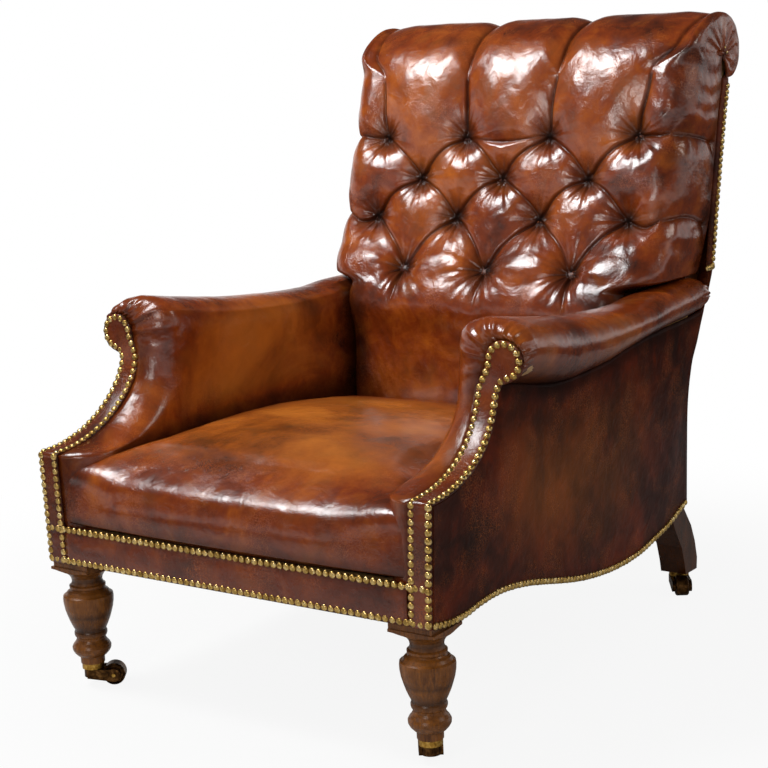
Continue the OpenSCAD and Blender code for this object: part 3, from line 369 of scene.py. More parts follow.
def walnut(dark, mid, light, ring_rows):
    """Turned and polished walnut: long brown grain, stain left dark in the turned hollows, shellac gloss."""
    def surface(t, where):
        long = add_node(t, "ShaderNodeMapping", {"Scale": (1, 1, 0.09), "Vector": where}).outputs[0]
        grain = noise(t, long, 5.0, 6, 0.65, 0.8)
        fine = noise(t, long, 1.2, 3, 0.6, 0.2)
        colour = ramp(t, grain, [(0.30, dark), (0.50, mid), (0.72, light)])
        cloud = noise(t, where, 38, 3, 0.5, 0.3)
        colour = mix(t, 0.30, colour, ramp(t, cloud, [(0.35, dark), (0.65, light)]))
        colour = mix(t, 0.18, colour, ramp(t, fine, [(0.4, dark), (0.6, light)]))
        if ring_rows:
            height = add_node(t, "ShaderNodeSeparateXYZ", {"Vector": where}).outputs["Z"]
            colour = mix(t, ramp(t, spread(t, height, 0.036, 0.212), ring_rows), colour, srgb("#1d0f08"))
        return principled(t, colour, Roughness=ramp(t, grain, [(0.3, 0.36), (0.7, 0.24)]),
                          Normal=bump(t, 0.2, 0.0004, fine), IOR=1.5, Specular_IOR_Level=0.28)
    return surface


def metal(dark, mid, light, blob_mm, low_rough, high_rough):
    """Cast or pressed brass with patches of tarnish and rubbed bright spots."""
    def surface(t, where):
        spots = noise(t, where, blob_mm, 5, 0.6, 0.3)
        colour = ramp(t, spots, [(0.32, dark), (0.5, mid), (0.68, light)])
        rough = ramp(t, spots, [(0.3, high_rough), (0.7, low_rough)])
        relief = bump(t, 0.15, 0.0003, noise(t, where, 1.4, 3, 0.5))
        return principled(t, colour, Roughness=rough, Normal=relief, Metallic=1.0)
    return surface


def woven(warp_colour, weft_colour, thread_mm):
    """Plain woven cloth: threads crossing at thread_mm, matt and a little fuzzy."""
    def surface(t, where):
        waves = [add_node(t, "ShaderNodeTexWave", {"Scale": 1000 / thread_mm / 6.283 * 0.5, "Distortion": 0.6,
                                                   "Detail": 1.0, "Vector": where}, bands_direction=axis)
                 for axis in ("X", "Y")]
        weave = mix(t, 0.5, waves[0].outputs["Fac"], waves[1].outputs["Fac"])
        colour = mix(t, weave, srgb(warp_colour), srgb(weft_colour))
        return principled(t, colour, Roughness=0.9, Normal=bump(t, 0.4, 0.0006, weave), Sheen_Weight=0.2)
    return surface


HIDE = material("Waxed aniline cowhide", leather("#301004", "#7c310b", "#b8611c", 0.19, 0.75))
# Panels and strips take a darker copy of the hide: painted shade
SHADED_PANEL_HIDE = material("Waxed cowhide of the panels in painted shade", leather("#1f0801", "#3c1102", "#782805", 0.34, 0.07))
EDGE_HIDE = material("Waxed cowhide of the facings", leather("#2a0d03", "#66270a", "#964a13", 0.24, 0.50))
# Buttons take a darker copy of the hide: painted shade, as they sit deep in their wells
SHADED_BUTTON_HIDE = material("Cowhide over buttons in painted shade", leather("#1c0a05", "#35140a", "#552410", 0.34, 0.3))
# How dark the stain lies up the leg, in the hollows between its turned rings
RINGS = [(0.0, 0.0), (0.17, 0.15), (0.27, 0.05), (0.33, 0.75), (0.40, 0.2), (0.44, 0.05), (0.47, 0.55),
         (0.52, 0.1), (0.68, 0.0), (0.755, 0.1), (0.80, 0.65), (0.86, 0.15), (1.0, 0.1)]
LEG_WOOD = material("Polished walnut", walnut("#331806", "#6b3c14", "#9a5e26", RINGS))
POST_WOOD = material("Dark walnut", walnut("#1c0b01", "#3c1c03", "#602f08", None))
PLAIN_WOOD = material("Sawn beech", walnut("#8a6238", "#ad8350", "#c9a26b", None))
NAIL_BRASS = material("Antique brass nails", metal("#8a6a34", "#c8a45c", "#f0d79c", 9, 0.22, 0.42))
CUP_BRASS = material("Aged brass", metal("#6d4c1c", "#a67c34", "#d6ac5c", 7, 0.25, 0.45))
BRONZE = material("Worn bronze castings", metal("#20140c", "#4a3018", "#7d5730", 8, 0.30, 0.50))
LINEN = material("Linen webbing", woven("#a8916a", "#c8b48a", 1.6))
BLACK_CLOTH = material("Black lining cloth", woven("#141312", "#2c2a28", 1.2))


def dress(obj, mat):
    obj.data.materials.clear()
    obj.data.materials.append(mat)


def fit(obj, mat, slot_name, *nodes, body=BODY):
    """A finished piece: its material, the body it moves with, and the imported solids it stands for."""
    dress(obj, mat)
    if nodes:
        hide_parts(*nodes)
    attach(obj, body)
    return obj


# Deep-buttoned back
# Side line of the pad's face as (depth, height): up from the seat, over the roll and down to its rear edge
FACE = [(695, 340), (697, 400), (701, 470), (706, 540), (711, 578), (722, 606), (748, 640), (771, 688),
        (790, 752), (813, 824), (832, 886), (857, 955), (890, 1000), (936, 1027), (986, 1035), (1032, 1022),
        (1058, 985), (1057, 948), (1036, 921), (1008, 914)]


def path_table():
    """Depth and height against the length run along the face, and the whole length."""
    p = np.array(FACE, float)
    chord = np.r_[0, np.cumsum(np.linalg.norm(np.diff(p, axis=0), axis=1))]
    return [(s, y) for s, (y, z) in zip(chord, p)], [(s, z) for s, (y, z) in zip(chord, p)], chord[-1]


PATH_Y, PATH_Z, PATH_LENGTH = path_table()


def path_point(s):
    return np.stack([curve(PATH_Y, s), curve(PATH_Z, s)], axis=-1)


def path_inward(s):
    d = path_point(np.asarray(s) + 4.0) - path_point(np.asarray(s) - 4.0)
    d /= np.linalg.norm(d, axis=-1, keepdims=True)
    return np.stack([d[..., 1], -d[..., 0]], axis=-1)


BUTTON_SINK, BUTTON_R, PITCH = 27.0, 10.5, 173.2
# Seen places of the four rows, (height, depth), the lowest row first
ROW_SPOTS = [(598.5, 745.5), (685.1, 797.5), (754.9, 815.5), (826.3, 843.5)]


def row_position(z, y):
    s = np.linspace(100, PATH_LENGTH - 250, 1600)
    sunk = path_point(s) + path_inward(s) * BUTTON_SINK
    return float(s[np.argmin(np.hypot(sunk[:, 0] - y, sunk[:, 1] - z))])


ROW_S = [row_position(z, y) for z, y in ROW_SPOTS]
ROW_X = [[-PITCH, 0, PITCH], [-1.5 * PITCH, -0.5 * PITCH, 0.5 * PITCH, 1.5 * PITCH]] * 2
BUTTONS = [(x, ROW_S[r], r) for r in range(4) for x in ROW_X[r]]
# Rounded corner between the front of the pad and its side, and where the flat front ends
CORNER_R = 52.0
FLAT_W = BACK_HALF - CORNER_R
BEND_W = CORNER_R * math.pi / 2
# Centre of the scroll at either end of the roll: depth, height
ROLL_HEART = (984.0, 958.0)


def pleats():
    """Folds between the buttons: (start, end, depth at start, depth at end, width of the fold)."""
    folds = []
    for r in range(3):
        for x in ROW_X[r]:
            for x2 in ROW_X[r + 1]:
                if abs(abs(x - x2) - PITCH / 2) < 1:
                    folds.append(((x, ROW_S[r]), (x2, ROW_S[r + 1]), 1.0, 1.0, 19))
    for side in (-1, 1):
        for r, lift, droop in ((1, 0, 8), (3, 1, 7)):
            start = (side * 1.5 * PITCH, ROW_S[r])
            middle = (side * (FLAT_W + 30), ROW_S[r] + lift)
            end = (side * (FLAT_W + BEND_W + 130), ROW_S[r] - 4 * droop)
            folds.append((start, middle, 1.0, 0.55, 16))
            folds.append((middle, end, 0.55, 0.40, 14))
    for x in ROW_X[0]:
        folds.append(((x, ROW_S[0]), (x * 1.03, ROW_S[0] - 90), 0.85, 0.0, 17))
    folds.append(((-0.5 * PITCH, ROW_S[3]), (0.5 * PITCH, ROW_S[3]), 0.5, 0.5, 9))
    for x in ROW_X[3]:
        folds.append(((x, ROW_S[3]), (x * 1.07, ROW_S[3] + 110), 1.0, 0.7 if abs(x) < 200 else 0.55, 22))
        rise, over = (0.7, 0.5) if abs(x) < 200 else (0.55, 0.10)
        folds.append(((x * 1.07, ROW_S[3] + 110), (x * 1.22, PATH_LENGTH + 40), rise, over, 15))
    return folds


PLEATS = pleats()


def wobble(a, b, seed):
    """Gentle irregular waves between -1 and 1."""
    return (np.sin(a * 1.0 + 1.7 * seed) * np.cos(b * 1.3 + 0.6 * seed)
            + 0.6 * np.sin(a * 2.3 - b * 1.9 + 2.1 * seed) + 0.4 * np.sin(a * 4.1 + b * 3.7 + seed)) / 2.0


def tufting(w, s):
    """Height of the cover over its smooth form, and its fold value: painted shade by depth, and on the crowns
    rubbed dye and painted light.
    """
    cone, rays, painted_ray_shade, well, valley, slit, lip = (np.zeros_like(w) for _ in range(7))
    for i, (bx, bs, r) in enumerate(BUTTONS):
        dx, ds = w - bx, s - bs
        d = np.hypot(dx, ds)
        turn = np.arctan2(ds, dx)
        cone += 17.0 * np.exp(-d / 38.0) + 15.0 * np.exp(-(d / 25.0) ** 2)
        # The well round each button is darkened: painted shade
        well = np.maximum(well, np.exp(-(d / 22.0) ** 2.4))
        # Short puckers fan out from the button, mostly above it
        count = 9 + i % 3
        below = 0.55 + 0.45 * smooth(10, -25, ds)
        ray = np.sin(count * turn + 1.3 * i + 0.9 * np.sin(2 * turn + i))
        ray = ray + 0.6 * np.sin((2 * count + 1) * turn + 2.2 * i)
        reach = 23.0 if r else 31.0
        band = np.exp(-d / reach) * (1 - np.exp(-(d / 11.0) ** 2)) * below
        rays += 3.0 * ray * band
        # Painted shade along the sunken side of each pucker
        painted_ray_shade = np.maximum(painted_ray_shade, np.clip(-ray - 0.5, 0, 1) * band)
    for (x0, s0), (x1, s1), a0, a1, width in PLEATS:
        dx, ds = x1 - x0, s1 - s0
        length = math.hypot(dx, ds)
        t = ((w - x0) * dx + (s - s0) * ds) / length**2
        tc = np.clip(t, 0, 1)
        # Folds between two buttons arch upwards
        bow = 11.0 * np.sin(math.pi * tc) * (abs(dx) > 30 and abs(ds) > 30)
        # The slack fold between the middle buttons of the top row sags
        bow = bow - 10.0 * np.sin(math.pi * tc) * (ds == 0)
        signed = ((w - x0) * ds - (s - bow - s0) * dx) / length
        signed = signed + 1.2 * np.sin(tc * math.pi * 2 + x0 * 0.05)
        d = np.where((t > 0) & (t < 1), np.abs(signed), np.hypot(w - (x0 + tc * dx), s - (s0 + tc * ds)))
        depth = a0 + (a1 - a0) * tc
        # Halfway between two buttons the fold stands nearer to the front
        depth = depth * (1 - 0.42 * np.sin(math.pi * tc) * (a1 > 0.9))
        valley = np.maximum(valley, depth * 21.0 * np.clip(1 - d / (2.9 * width), 0, 1) ** 1.7)
        inside = smooth(-0.02, 0.10, t) * smooth(1.02, 0.92, t)
        slit = np.maximum(slit, inside * depth * np.exp(-(d / 2.7) ** 2))
        # The upper pillow laps a little over the lower one
        up = -np.sign(dx) if abs(dx) > 8 else (1.0 if x0 > 0 else -1.0)
        lip += inside * 2.6 * depth * np.tanh(signed * up / 2.2) * np.exp(-np.abs(signed) / 10.0)
    sunk = BUTTON_SINK * (1 - (1 - np.clip(cone / BUTTON_SINK, 0, 1)) * (1 - valley / BUTTON_SINK))
    high = -sunk - 4.0 * slit + lip + rays
    # Pillows stand proud of the smooth form between the buttons
    field = smooth(ROW_S[0] - 40, ROW_S[0] + 20, s) * smooth(ROW_S[3] + 260, ROW_S[3] + 60, s)
    high += 9.0 * field * smooth(FLAT_W + 60, FLAT_W - 40, np.abs(w))
    high = np.maximum(high, -BUTTON_SINK - 2.0)
    # Painted shade where the cover lies deep, in the slits, puckers and wells; the pillow crowns lighter,
    # rubbed dye and painted light
    deep = np.clip((-high - 6.0) / 16.0, 0, 1)
    fold = np.maximum.reduce([0.88 * deep, 0.95 * slit, 0.8 * painted_ray_shade, well])
    worn = 0.75 * field * smooth(3, 10, high)
    return high, np.clip(fold - worn, -1, 1)


def back_form(quick):
    """The cover of the back pad as a grid: across its front and round both corners to the side strips."""
    side_run_mm = 118.0
    side_end = FLAT_W + BEND_W + side_run_mm
    fine = 3.6 if quick else 1.9
    middle = FLAT_W + 34
    w_mid = np.linspace(-middle, middle, int(2 * middle / fine))
    w_out = np.linspace(middle, side_end, int((side_end - middle) / (fine * 1.5)))[1:]
    w = np.r_[-w_out[::-1], w_mid, w_out]
    low_end, fold_end = ROW_S[0] - 130, ROW_S[3] + 60
    # Rows lie closest where the buttons are
    spans = ((0, low_end, 2.2), (low_end, fold_end, 1), (fold_end, PATH_LENGTH, 1.35))
    s = np.concatenate([np.linspace(a, b, int((b - a) / (fine * k)))[a > 0:] for a, b, k in spans])
    W, S = np.meshgrid(w, s)
    P = path_point(s)
    I = path_inward(s)
    z_of = P[:, 1]
    # Where the side of the pad ends: the strip on the face, the heart of the scroll on the roll
    strip_y = curve(REAR_ROWS, z_of) - 28
    on_roll = np.clip(smooth(940, 985, z_of) + (P[:, 0] > 1000), 0, 1)[:, None]
    rear = np.stack([strip_y, z_of], axis=-1) * (1 - on_roll) + np.array(ROLL_HEART) * on_roll
    D = rear - P
    L = np.linalg.norm(D, axis=-1)
    D = D / L[:, None]
    # Between the arms the pad is narrow; its wide part rests on the arms with a round lower edge
    wide = smooth(570, 590, z_of)
    wide = np.where(P[:, 0] > 900, 1.0, wide)
    soft = np.where(P[:, 0] > 900, 0.0, 1 - rounding((z_of - 572) / 62.0))
    half = 271 + (BACK_HALF - 26 * soft - 9 * smooth(700, 610, z_of) - 271) * wide
    round_r = CORNER_R + 26 * soft - 36 * on_roll[:, 0]
    corner = np.minimum(24 + (round_r - 24) * wide, 0.8 * L)
    a = np.abs(W)
    turn = np.clip((a - FLAT_W) / BEND_W, 0, 1)
    beyond = np.clip((a - FLAT_W - BEND_W) / side_run_mm, 0, 1)
    x_flat = np.minimum(a, FLAT_W)
    inner_x = 178.0
    squeeze = ((half - corner)[:, None] - inner_x) / (FLAT_W - inner_x)
    x_flat = np.where(x_flat > inner_x, inner_x + (x_flat - inner_x) * squeeze, x_flat)
    phi = turn * math.pi / 2
    c = corner[:, None]
    x = x_flat + c * np.sin(phi)
    depth = c * (1 - np.cos(phi))
    side_run = (L - corner) * wide + 30.0 * (1 - wide)
    depth = depth + beyond * np.maximum(side_run, 4)[:, None]
    high, fold = tufting(W, S)
    # Plain leather under the lowest row
    low = smooth(ROW_S[0] - 60, ROW_S[0] - 150, S)
    high = high * (1 - 0.9 * low) + 13.0 * np.exp(-((S - ROW_S[0] + 78) / 42.0) ** 2)
    fold = fold * (1 - low)
    high += 1.0 * wobble(W / 60, S / 47, 2.0) + 0.45 * wobble(W / 19, S / 23, 5.0)
    # Small gathers near the strips and round the ends of the roll
    gather = smooth(FLAT_W + 25, FLAT_W + BEND_W + 40, a)
    gathers = np.sin(S / 5.6 + 1.4 * np.sin(W / 31) + 0.9 * np.sin(S / 29)) * (0.55 + 0.45 * np.sin(S / 41))
    high += gather * 0.55 * gathers
    end_on_roll = on_roll * beyond
    tuck = np.sin(S / 7.4 + 0.8 * np.sin(S / 23))
    high += -end_on_roll * 1.5 * beyond + end_on_roll * 2.6 * tuck * (1 - beyond)
    high = high * np.where(beyond > 0.97, 0.0, 1.0)
    high += 2.5 * np.sin(math.pi * beyond) * wide[:, None] * (1 - 0.6 * on_roll)
    X = np.sign(W) * (x + np.sin(phi) * high)
    outward = -I
    Y = P[:, 0][:, None] + D[:, 0][:, None] * depth + np.cos(phi) * outward[:, 0][:, None] * high
    Z = P[:, 1][:, None] + D[:, 1][:, None] * depth + np.cos(phi) * outward[:, 1][:, None] * high
    # Painted shade where the cover turns to the strips, in the tucks at the roll's ends and low down where the
    # pad meets the arms
    edge = smooth(0.60, 1.0, beyond)
    fold = np.maximum.reduce([fold, 0.55 * edge * wide[:, None],
                              0.7 * end_on_roll * np.clip(-tuck, 0, 1) * (1 - beyond),
                              0.5 * smooth(600, 575, z_of)[:, None] * smooth(250, 300, a)])
    return np.stack([X, Y, Z], axis=-1), np.clip(fold, -1, 1)


def back_pad():
    points, fold = back_form(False)
    obj = grid_object("back_cover", points, (0, -1, 0.3), fold=fold)
    thickened(obj, 5.0)
    return fit(obj, HIDE, "leather", "back_pad")


def domed(profile, sides, low, high):
    """Round head of radius 1 towards +Z: rings of (radius, height), closed below at low and above at high."""
    around = [(math.cos(2 * math.pi * k / sides), math.sin(2 * math.pi * k / sides)) for k in range(sides)]
    verts = [(r * c, r * s, z) for r, z in profile for c, s in around] + [(0, 0, low), (0, 0, high)]
    last = (len(profile) - 1) * sides
    bottom, top = last + sides, last + sides + 1
    faces = []
    for k in range(sides):
        j = (k + 1) % sides
        faces += [(i + k, i + j, i + j + sides, i + k + sides) for i in range(0, last, sides)]
        faces += [(bottom, j, k), (top, last + k, last + j)]
    return verts, faces


def buttons():
    """Domed buttons covered with leather, each in its well and square to the face there."""
    profile = [(0.55, -0.25), (0.92, -0.12), (1.0, 0.06), (0.93, 0.24), (0.72, 0.40), (0.42, 0.50)]
    verts, faces = domed(profile, 20, -0.3, 0.54)
    all_v, all_f = [], []
    for x, s, _ in BUTTONS:
        inward = path_inward(s)
        seat = path_point(s) + inward * (BUTTON_SINK - 1.0)
        out = np.array([0, -inward[0], -inward[1]])
        side = np.array([1.0, 0, 0])
        up = np.cross(out, side)
        base = len(all_v)
        centre = np.array([x, seat[0], seat[1]])
        all_v += [centre + BUTTON_R * (v[0] * side + v[1] * up + v[2] * out) for v in verts]
        all_f += [tuple(base + i for i in f) for f in faces]
    obj = new_object("button_covers", placed(all_v), all_f, fold=np.zeros(len(all_v)))
    bm = bmesh.new()
    bm.from_mesh(obj.data)
    bmesh.ops.recalc_face_normals(bm, faces=bm.faces)
    bm.to_mesh(obj.data)
    bm.free()
    obj.data.shade_smooth()
    return fit(obj, SHADED_BUTTON_HIDE, "buttons", "back_buttons")


# Seat
def seat():
    obj = copy_of("seat_pad", "seat_cover")
    stuffed(obj, 6, 6, 3.0, 6.0)
    co = vertex_values(obj.data) * 1000
    n = vertex_values(obj.data, "normal")
    x, y, z = co[:, 0], co[:, 1] + HALF_DEPTH, co[:, 2]
    # The cover reaches the leaning facings in front, and its front face bellies forwards
    x = x + np.sign(x) * 2.5 * smooth(215, 300, np.abs(x))
    pull = smooth(135, 20, y) * smooth(255, 305, np.abs(x)) * smooth(262, 272, z)
    x = x + np.sign(x) * (edge_x(z) + 1.0 - np.abs(x)) * pull
    belly = np.clip(-n[:, 1], 0, 1) * smooth(60, 10, y) * smooth(256, 272, z)
    y = y - belly * (2.5 + 8.5 * np.sqrt(np.clip(1 - (x / 330) ** 2, 0, 1)))
    rim = np.sqrt(np.maximum(0, 1 - np.clip((z - 315) / 78, 0, 0.97) ** 2))
    end = smooth(190, 335, np.abs(x))
    y = y + (30 - 18 * end) * (1 - rim) * smooth(150, 40, y)
    z = z - (5 - 10 * end) * smooth(125, 15, y) * smooth(300, 370, z)
    crown = np.clip(n[:, 2], 0, 1) * smooth(20, 140, y) * smooth(700, 560, y)
    z = z + crown * (1.2 * wobble(x / 95, y / 80, 3.0) - 2.0 * smooth(60, 0, np.hypot(x - 20, y - 420)))
    co = np.stack([x, y - HALF_DEPTH, z], axis=-1)
    set_coords(obj, co / 1000)
    # Painted shade where the hide dives beside the arms and the back, along the bottom of the front and on its
    # forward-facing side
    edge = smooth(250, 271, np.abs(co[:, 0])) * smooth(40, 110, y)
    rear = smooth(640, 700, y)
    low = smooth(300, 268, co[:, 2])
    dark = np.maximum.reduce([0.8 * edge, 0.8 * rear, 0.45 * low]) + 0.16 * np.clip(-n[:, 1], 0, 1)
    # The crown is lighter: rubbed dye and painted light
    worn = np.clip(n[:, 2], 0, 1) * smooth(300, 120, np.abs(x)) * smooth(20, 160, y) * smooth(640, 420, y)
    set_painted_shade_light_and_wear(obj, dark - 0.9 * worn)
    return fit(obj, HIDE, "leather", "seat_pad")


# Arms
# Inner faces of the arm and of its facing, and how far below the scroll's centre the facing starts to widen
ARM_IN, FACING_IN, LEAN_DROP = 272.0, 326.0, 46.0
# The roll's own radius, just over the scroll's, and the middle of its rear end: x, height
ROLL_R = 31.5
ROLL_END = (352, 548)
# Distances behind the front edge at which the cover's first columns lie, before even spacing takes over
REACH = np.r_[0, 1.0, 2.2, 3.6, 5.2, 7, 9, 11.2, 13.6, 16.2, 19, 22, 25.2, 28.6, 32.2, 36, 40, 44, 48.5, 53,
              58, 63]
EVEN_COLUMNS = 118
COVER_GAP = 2.2


def lean(z):
    """The arms lean outwards a little from the hem to the corner of the facing."""
    return 7.0 * np.clip((np.asarray(z, float) - HEM_Z) / 176, 0, 1) * smooth(510, 400, z)


def edge_x(z):
    """Inner edge of the facing."""
    low = FACING_IN + lean(z)
    return low + (SCROLL_X - SCROLL_R - low) * smooth(SCROLL_Z - LEAN_DROP, SCROLL_Z, z)


def rounding(t):
    """Quarter circle from 0 to 1."""
    return np.sqrt(np.maximum(0, 1 - (1 - np.clip(t, 0, 1)) ** 2))


def arc_y(z):
    """Depth of the front of an arm at a height."""
    u = np.clip((ARC_Z - np.asarray(z, float)) / ARC_RISE, 0, 1)
    return np.where(np.asarray(z) <= CORNER_Z, 0.0, SCROLL_Y * np.sqrt(np.maximum(0, 1 - u * u)))


def arm_section(y, count):
    """Outline across an arm's long roll at one depth, from its inner side over the top to its underside."""
    g = float(rounding((y - SCROLL_Y - COVER_GAP) / 40.0))

    def grown(small, full):
        return small + (full - small) * g
    out = grown(SCROLL_X + 32, 418 - 54 * y / DEPTH)
    inner = grown(SCROLL_X - ROLL_R, ARM_IN)
    top = grown(SCROLL_Z + ROLL_R, ROLL_TOP_Z - 41 * float(curve(TOP_DROP, along_roll(y))))
    under = grown(SCROLL_Z - ROLL_R, min(float(roll_under(y)), 519.5 + max(0.0, y - 236) * 0.5))
    cx, ax = (out + inner) / 2, (out - inner) / 2
    cz = grown(SCROLL_Z, 0.55 * top + 0.45 * under)
    a = np.radians(np.linspace(180, -96, count))
    return cx + ax * np.cos(a), cz + np.where(a >= 0, top - cz, cz - under) * np.sin(a)


def cover_columns(start, end):
    """Depths of the cover's columns: close behind the front edge, then even to the end."""
    bend_end = start + REACH[-1]
    return np.r_[start + REACH, bend_end + (end - bend_end) * np.linspace(0, 1, EVEN_COLUMNS + 1)[1:]]


def arm_grid():
    """The cover of the right arm: rows from the seat up its inner face, over the roll and under it."""
    face_rows, roll_rows = 60, 110
    grid = np.zeros((face_rows + roll_rows, len(REACH) + EVEN_COLUMNS, 3))
    # Rows of the inner face stay at one height; the top one meets the roll
    for i, z in enumerate(np.linspace(262, 524, face_rows)):
        y0 = float(arc_y(z)) + COVER_GAP
        ys = cover_columns(y0, 775)
        x = edge_x(z) + 2 + (ARM_IN - edge_x(z) - 2) * rounding((ys - y0) / 62.0)
        grid[i] = np.stack([x, ys, np.full_like(ys, z)], axis=-1)
    for j, y in enumerate(cover_columns(SCROLL_Y + COVER_GAP, 905)):
        x, z = arm_section(min(y, DEPTH), roll_rows)
        # The rear end closes in a dome on the post
        if y > 872:
            shrink = float(rounding((905.5 - y) / 33.5)) * 0.96 + 0.04
            x = ROLL_END[0] + (x - ROLL_END[0]) * shrink
            z = ROLL_END[1] + (z - ROLL_END[1]) * shrink
        grid[face_rows:, j] = np.stack([x, np.full_like(x, y), z], axis=-1)
    return grid, face_rows


def eased(grid, rows, passes):
    """Evens out the given rows of a grid along its columns."""
    for _ in range(passes):
        grid[rows] = 0.5 * grid[rows] + 0.25 * (grid[rows - 1] + grid[rows + 1])
    return grid


def grid_normals(grid):
    n = np.cross(np.gradient(grid, axis=0), np.gradient(grid, axis=1))
    return n / np.maximum(np.linalg.norm(n, axis=-1, keepdims=True), 1e-9)


def arms():
    """Arm covers: drawn over the rounded front, gathered behind the scroll's nails, full along the roll."""
    grid, face_rows = arm_grid()
    grid = eased(grid, np.arange(face_rows - 10, face_rows + 12), 60)
    n = grid_normals(grid)
    # The inner face looks towards the seat
    if n[10, 60, 0] > 0:
        n = -n
    x, y, z = grid[..., 0], grid[..., 1], grid[..., 2]
    turn = np.arctan2(z - SCROLL_Z, x - SCROLL_X)
    from_front = y - np.maximum(arc_y(z), 0)
    behind = np.maximum(from_front, 0)
    in_scroll = smooth(515, 545, z)
    near = np.exp(-behind / 15.0) * (1 - np.exp(-behind / 3.5))
    ray = np.sin(17 * turn + 1.3 * np.sin(3 * turn)) + 0.55 * np.sin(31 * turn + 2.0)
    high = 2.3 * ray * near * in_scroll
    # Short wrinkles across the rounded edge below the scroll
    wrinkle = np.sin(z / 4.3 + 1.2 * np.sin(z / 23) + y / 40) * (0.6 + 0.4 * np.sin(z / 17 + 1))
    high += 0.75 * wrinkle * near * (1 - in_scroll) * smooth(300, 400, z)
    # Lengthwise fullness of the stuffing
    full = 0.9 * wobble(y / 75, z / 40, 3.0) + 0.35 * wobble(y / 26, z / 19, 4.0)
    high += full * smooth(0, 40, from_front)
    # Tucks at the rear end of the roll and where the inner face meets the back
    back_end = smooth(850, 900, y)
    high += 1.6 * np.sin(11 * np.arctan2(z - ROLL_END[1], x - ROLL_END[0])) * back_end * smooth(340, 362, x)
    grid = grid + n * high[..., None]
    # Painted shade low beside the seat, under the roll, along the front edge, in the creases round the scroll
    # and at the rear corner
    deep_seat = smooth(430, 372, z) * smooth(40, 90, from_front)
    crease = np.clip(1.0 - np.abs(ray) * 1.2, 0, 1) * near * in_scroll
    under = np.zeros_like(z)
    under[face_rows:] = smooth(0.60, 0.97, np.linspace(0, 1, grid.shape[0] - face_rows))[:, None]
    rim = np.exp(-behind / 6.0)
    corner = smooth(660, 720, y) * (x < 300)
    dark = np.maximum.reduce([0.75 * deep_seat, 0.95 * under, 0.55 * rim, 0.5 * crease, 0.7 * corner])
    # The middle of the inner face is lighter: rubbed dye and painted light
    worn = smooth(400, 450, z) * smooth(30, 230, from_front) * smooth(700, 480, y)
    worn = worn * (x < 330) * smooth(575, 540, z)
    for side, word in ((1, "right"), (-1, "left")):
        p = grid.copy()
        p[..., 0] *= side
        obj = grid_object(f"arm_cover_{word}", p, (-side, 0, 0), (0.1, 0.5), dark - 0.9 * worn)
        thickened(obj, 3.0)
        fit(obj, HIDE, "leather", f"arm_pad_{word}")


# Panels and strips
def panel(name, rows, outward, thickness, mat, node, at=(0.5, 0.5), fold=None):
    """A tight leather panel from rows of points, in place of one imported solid."""
    obj = grid_object(name, np.array(rows), outward, at, fold)
    thickened(obj, thickness)
    return fit(obj, mat, "leather", node)


def outside_arm_top(y):
    """Upper edge of the side panel: behind the facing's arc, then tucked under the roll."""
    if y < SCROLL_Y + 3:
        return min(ARC_Z - 153.2 * math.sqrt(max(0.0, 1 - min(1.0, y / 197.3) ** 2)), 516.0)
    high = float(roll_under(y)) + 5
    return 516.0 + (high - 516.0) * smooth(197, 240, y) if y < 240 else high


def outside_arm(side, name, node):
    ys = np.r_[np.linspace(3.3, 60, 16), np.linspace(66, 190, 26), np.linspace(196, DEPTH, 100)]
    share = np.linspace(0, 1, 44)
    rows = []
    for y in ys:
        low = float(curve(HEM, y))
        z = low + (outside_arm_top(y) - low) * share
        py = np.full_like(z, y)
        if y > 820:
            py = 820 + (curve(REAR_ROWS, z) - 4.5 - 820) * (y - 820) / (DEPTH - 820)
        x = side_x(py, z) + lean(z) * smooth(380, 20, y)
        # Drawn tight over the frame, with the slight fullness of its wadding in the middle
        full = np.sin(math.pi * share) ** 0.6 * smooth(0, 120, y) * smooth(DEPTH, 780, y)
        x = x + 3.5 * full + 0.5 * wobble(y / 90, z / 70, 1.0) * full
        rows.append(np.stack([side * x, py, z], axis=-1))
    # Painted shade under the roll and at the hem, painted light in the middle
    fold = 0.75 * smooth(0.90, 1.0, share) * (ys[:, None] > 200) + 0.25 * smooth(0.08, 0, share)
    painted_glow = np.sin(math.pi * share) ** 2 * (smooth(120, 330, ys) * smooth(760, 480, ys))[:, None]
    return panel(name, rows, (side, 0, 0), 2.5, SHADED_PANEL_HIDE, node, fold=np.clip(fold, 0, 1) - 0.30 * painted_glow)


FORWARDS = (-1.0, 0.0)


def facing_rows():
    """Stations up the facing: (depth, height, inner x, outer x, normal)."""
    rows = [(0.0, z, FORWARDS) for z in np.linspace(HEM_Z, 388.5, 26)]
    for phi in np.linspace(1.5, 90, 44):
        a = math.radians(phi)
        y, z = SCROLL_Y * math.sin(a), ARC_Z - ARC_RISE * math.cos(a)
        tangent = np.array([SCROLL_Y * math.cos(a), ARC_RISE * math.sin(a)])
        tangent /= np.linalg.norm(tangent)
        rows.append((y, z, (-tangent[1], tangent[0])))
    rows += [(SCROLL_Y, z, FORWARDS) for z in np.linspace(541, 581.8, 24)]
    out = []
    for y, z, n in rows:
        x_in = float(edge_x(z))
        x_out = FRONT_HALF + float(lean(z))
        if z > 510:
            x_out = FRONT_HALF + 7 * min(1, (z - 510) / 10)
        # The round head of the scroll
        if z > 520.5:
            x_out = SCROLL_X + math.sqrt(max(0.0, SCROLL_R**2 - (SCROLL_Z - z) ** 2))
        if z > SCROLL_Z:
            x_in = SCROLL_X - math.sqrt(max(0.0, SCROLL_R**2 - (z - SCROLL_Z) ** 2))
        out.append((y, z, x_in, x_out, n))
    return out


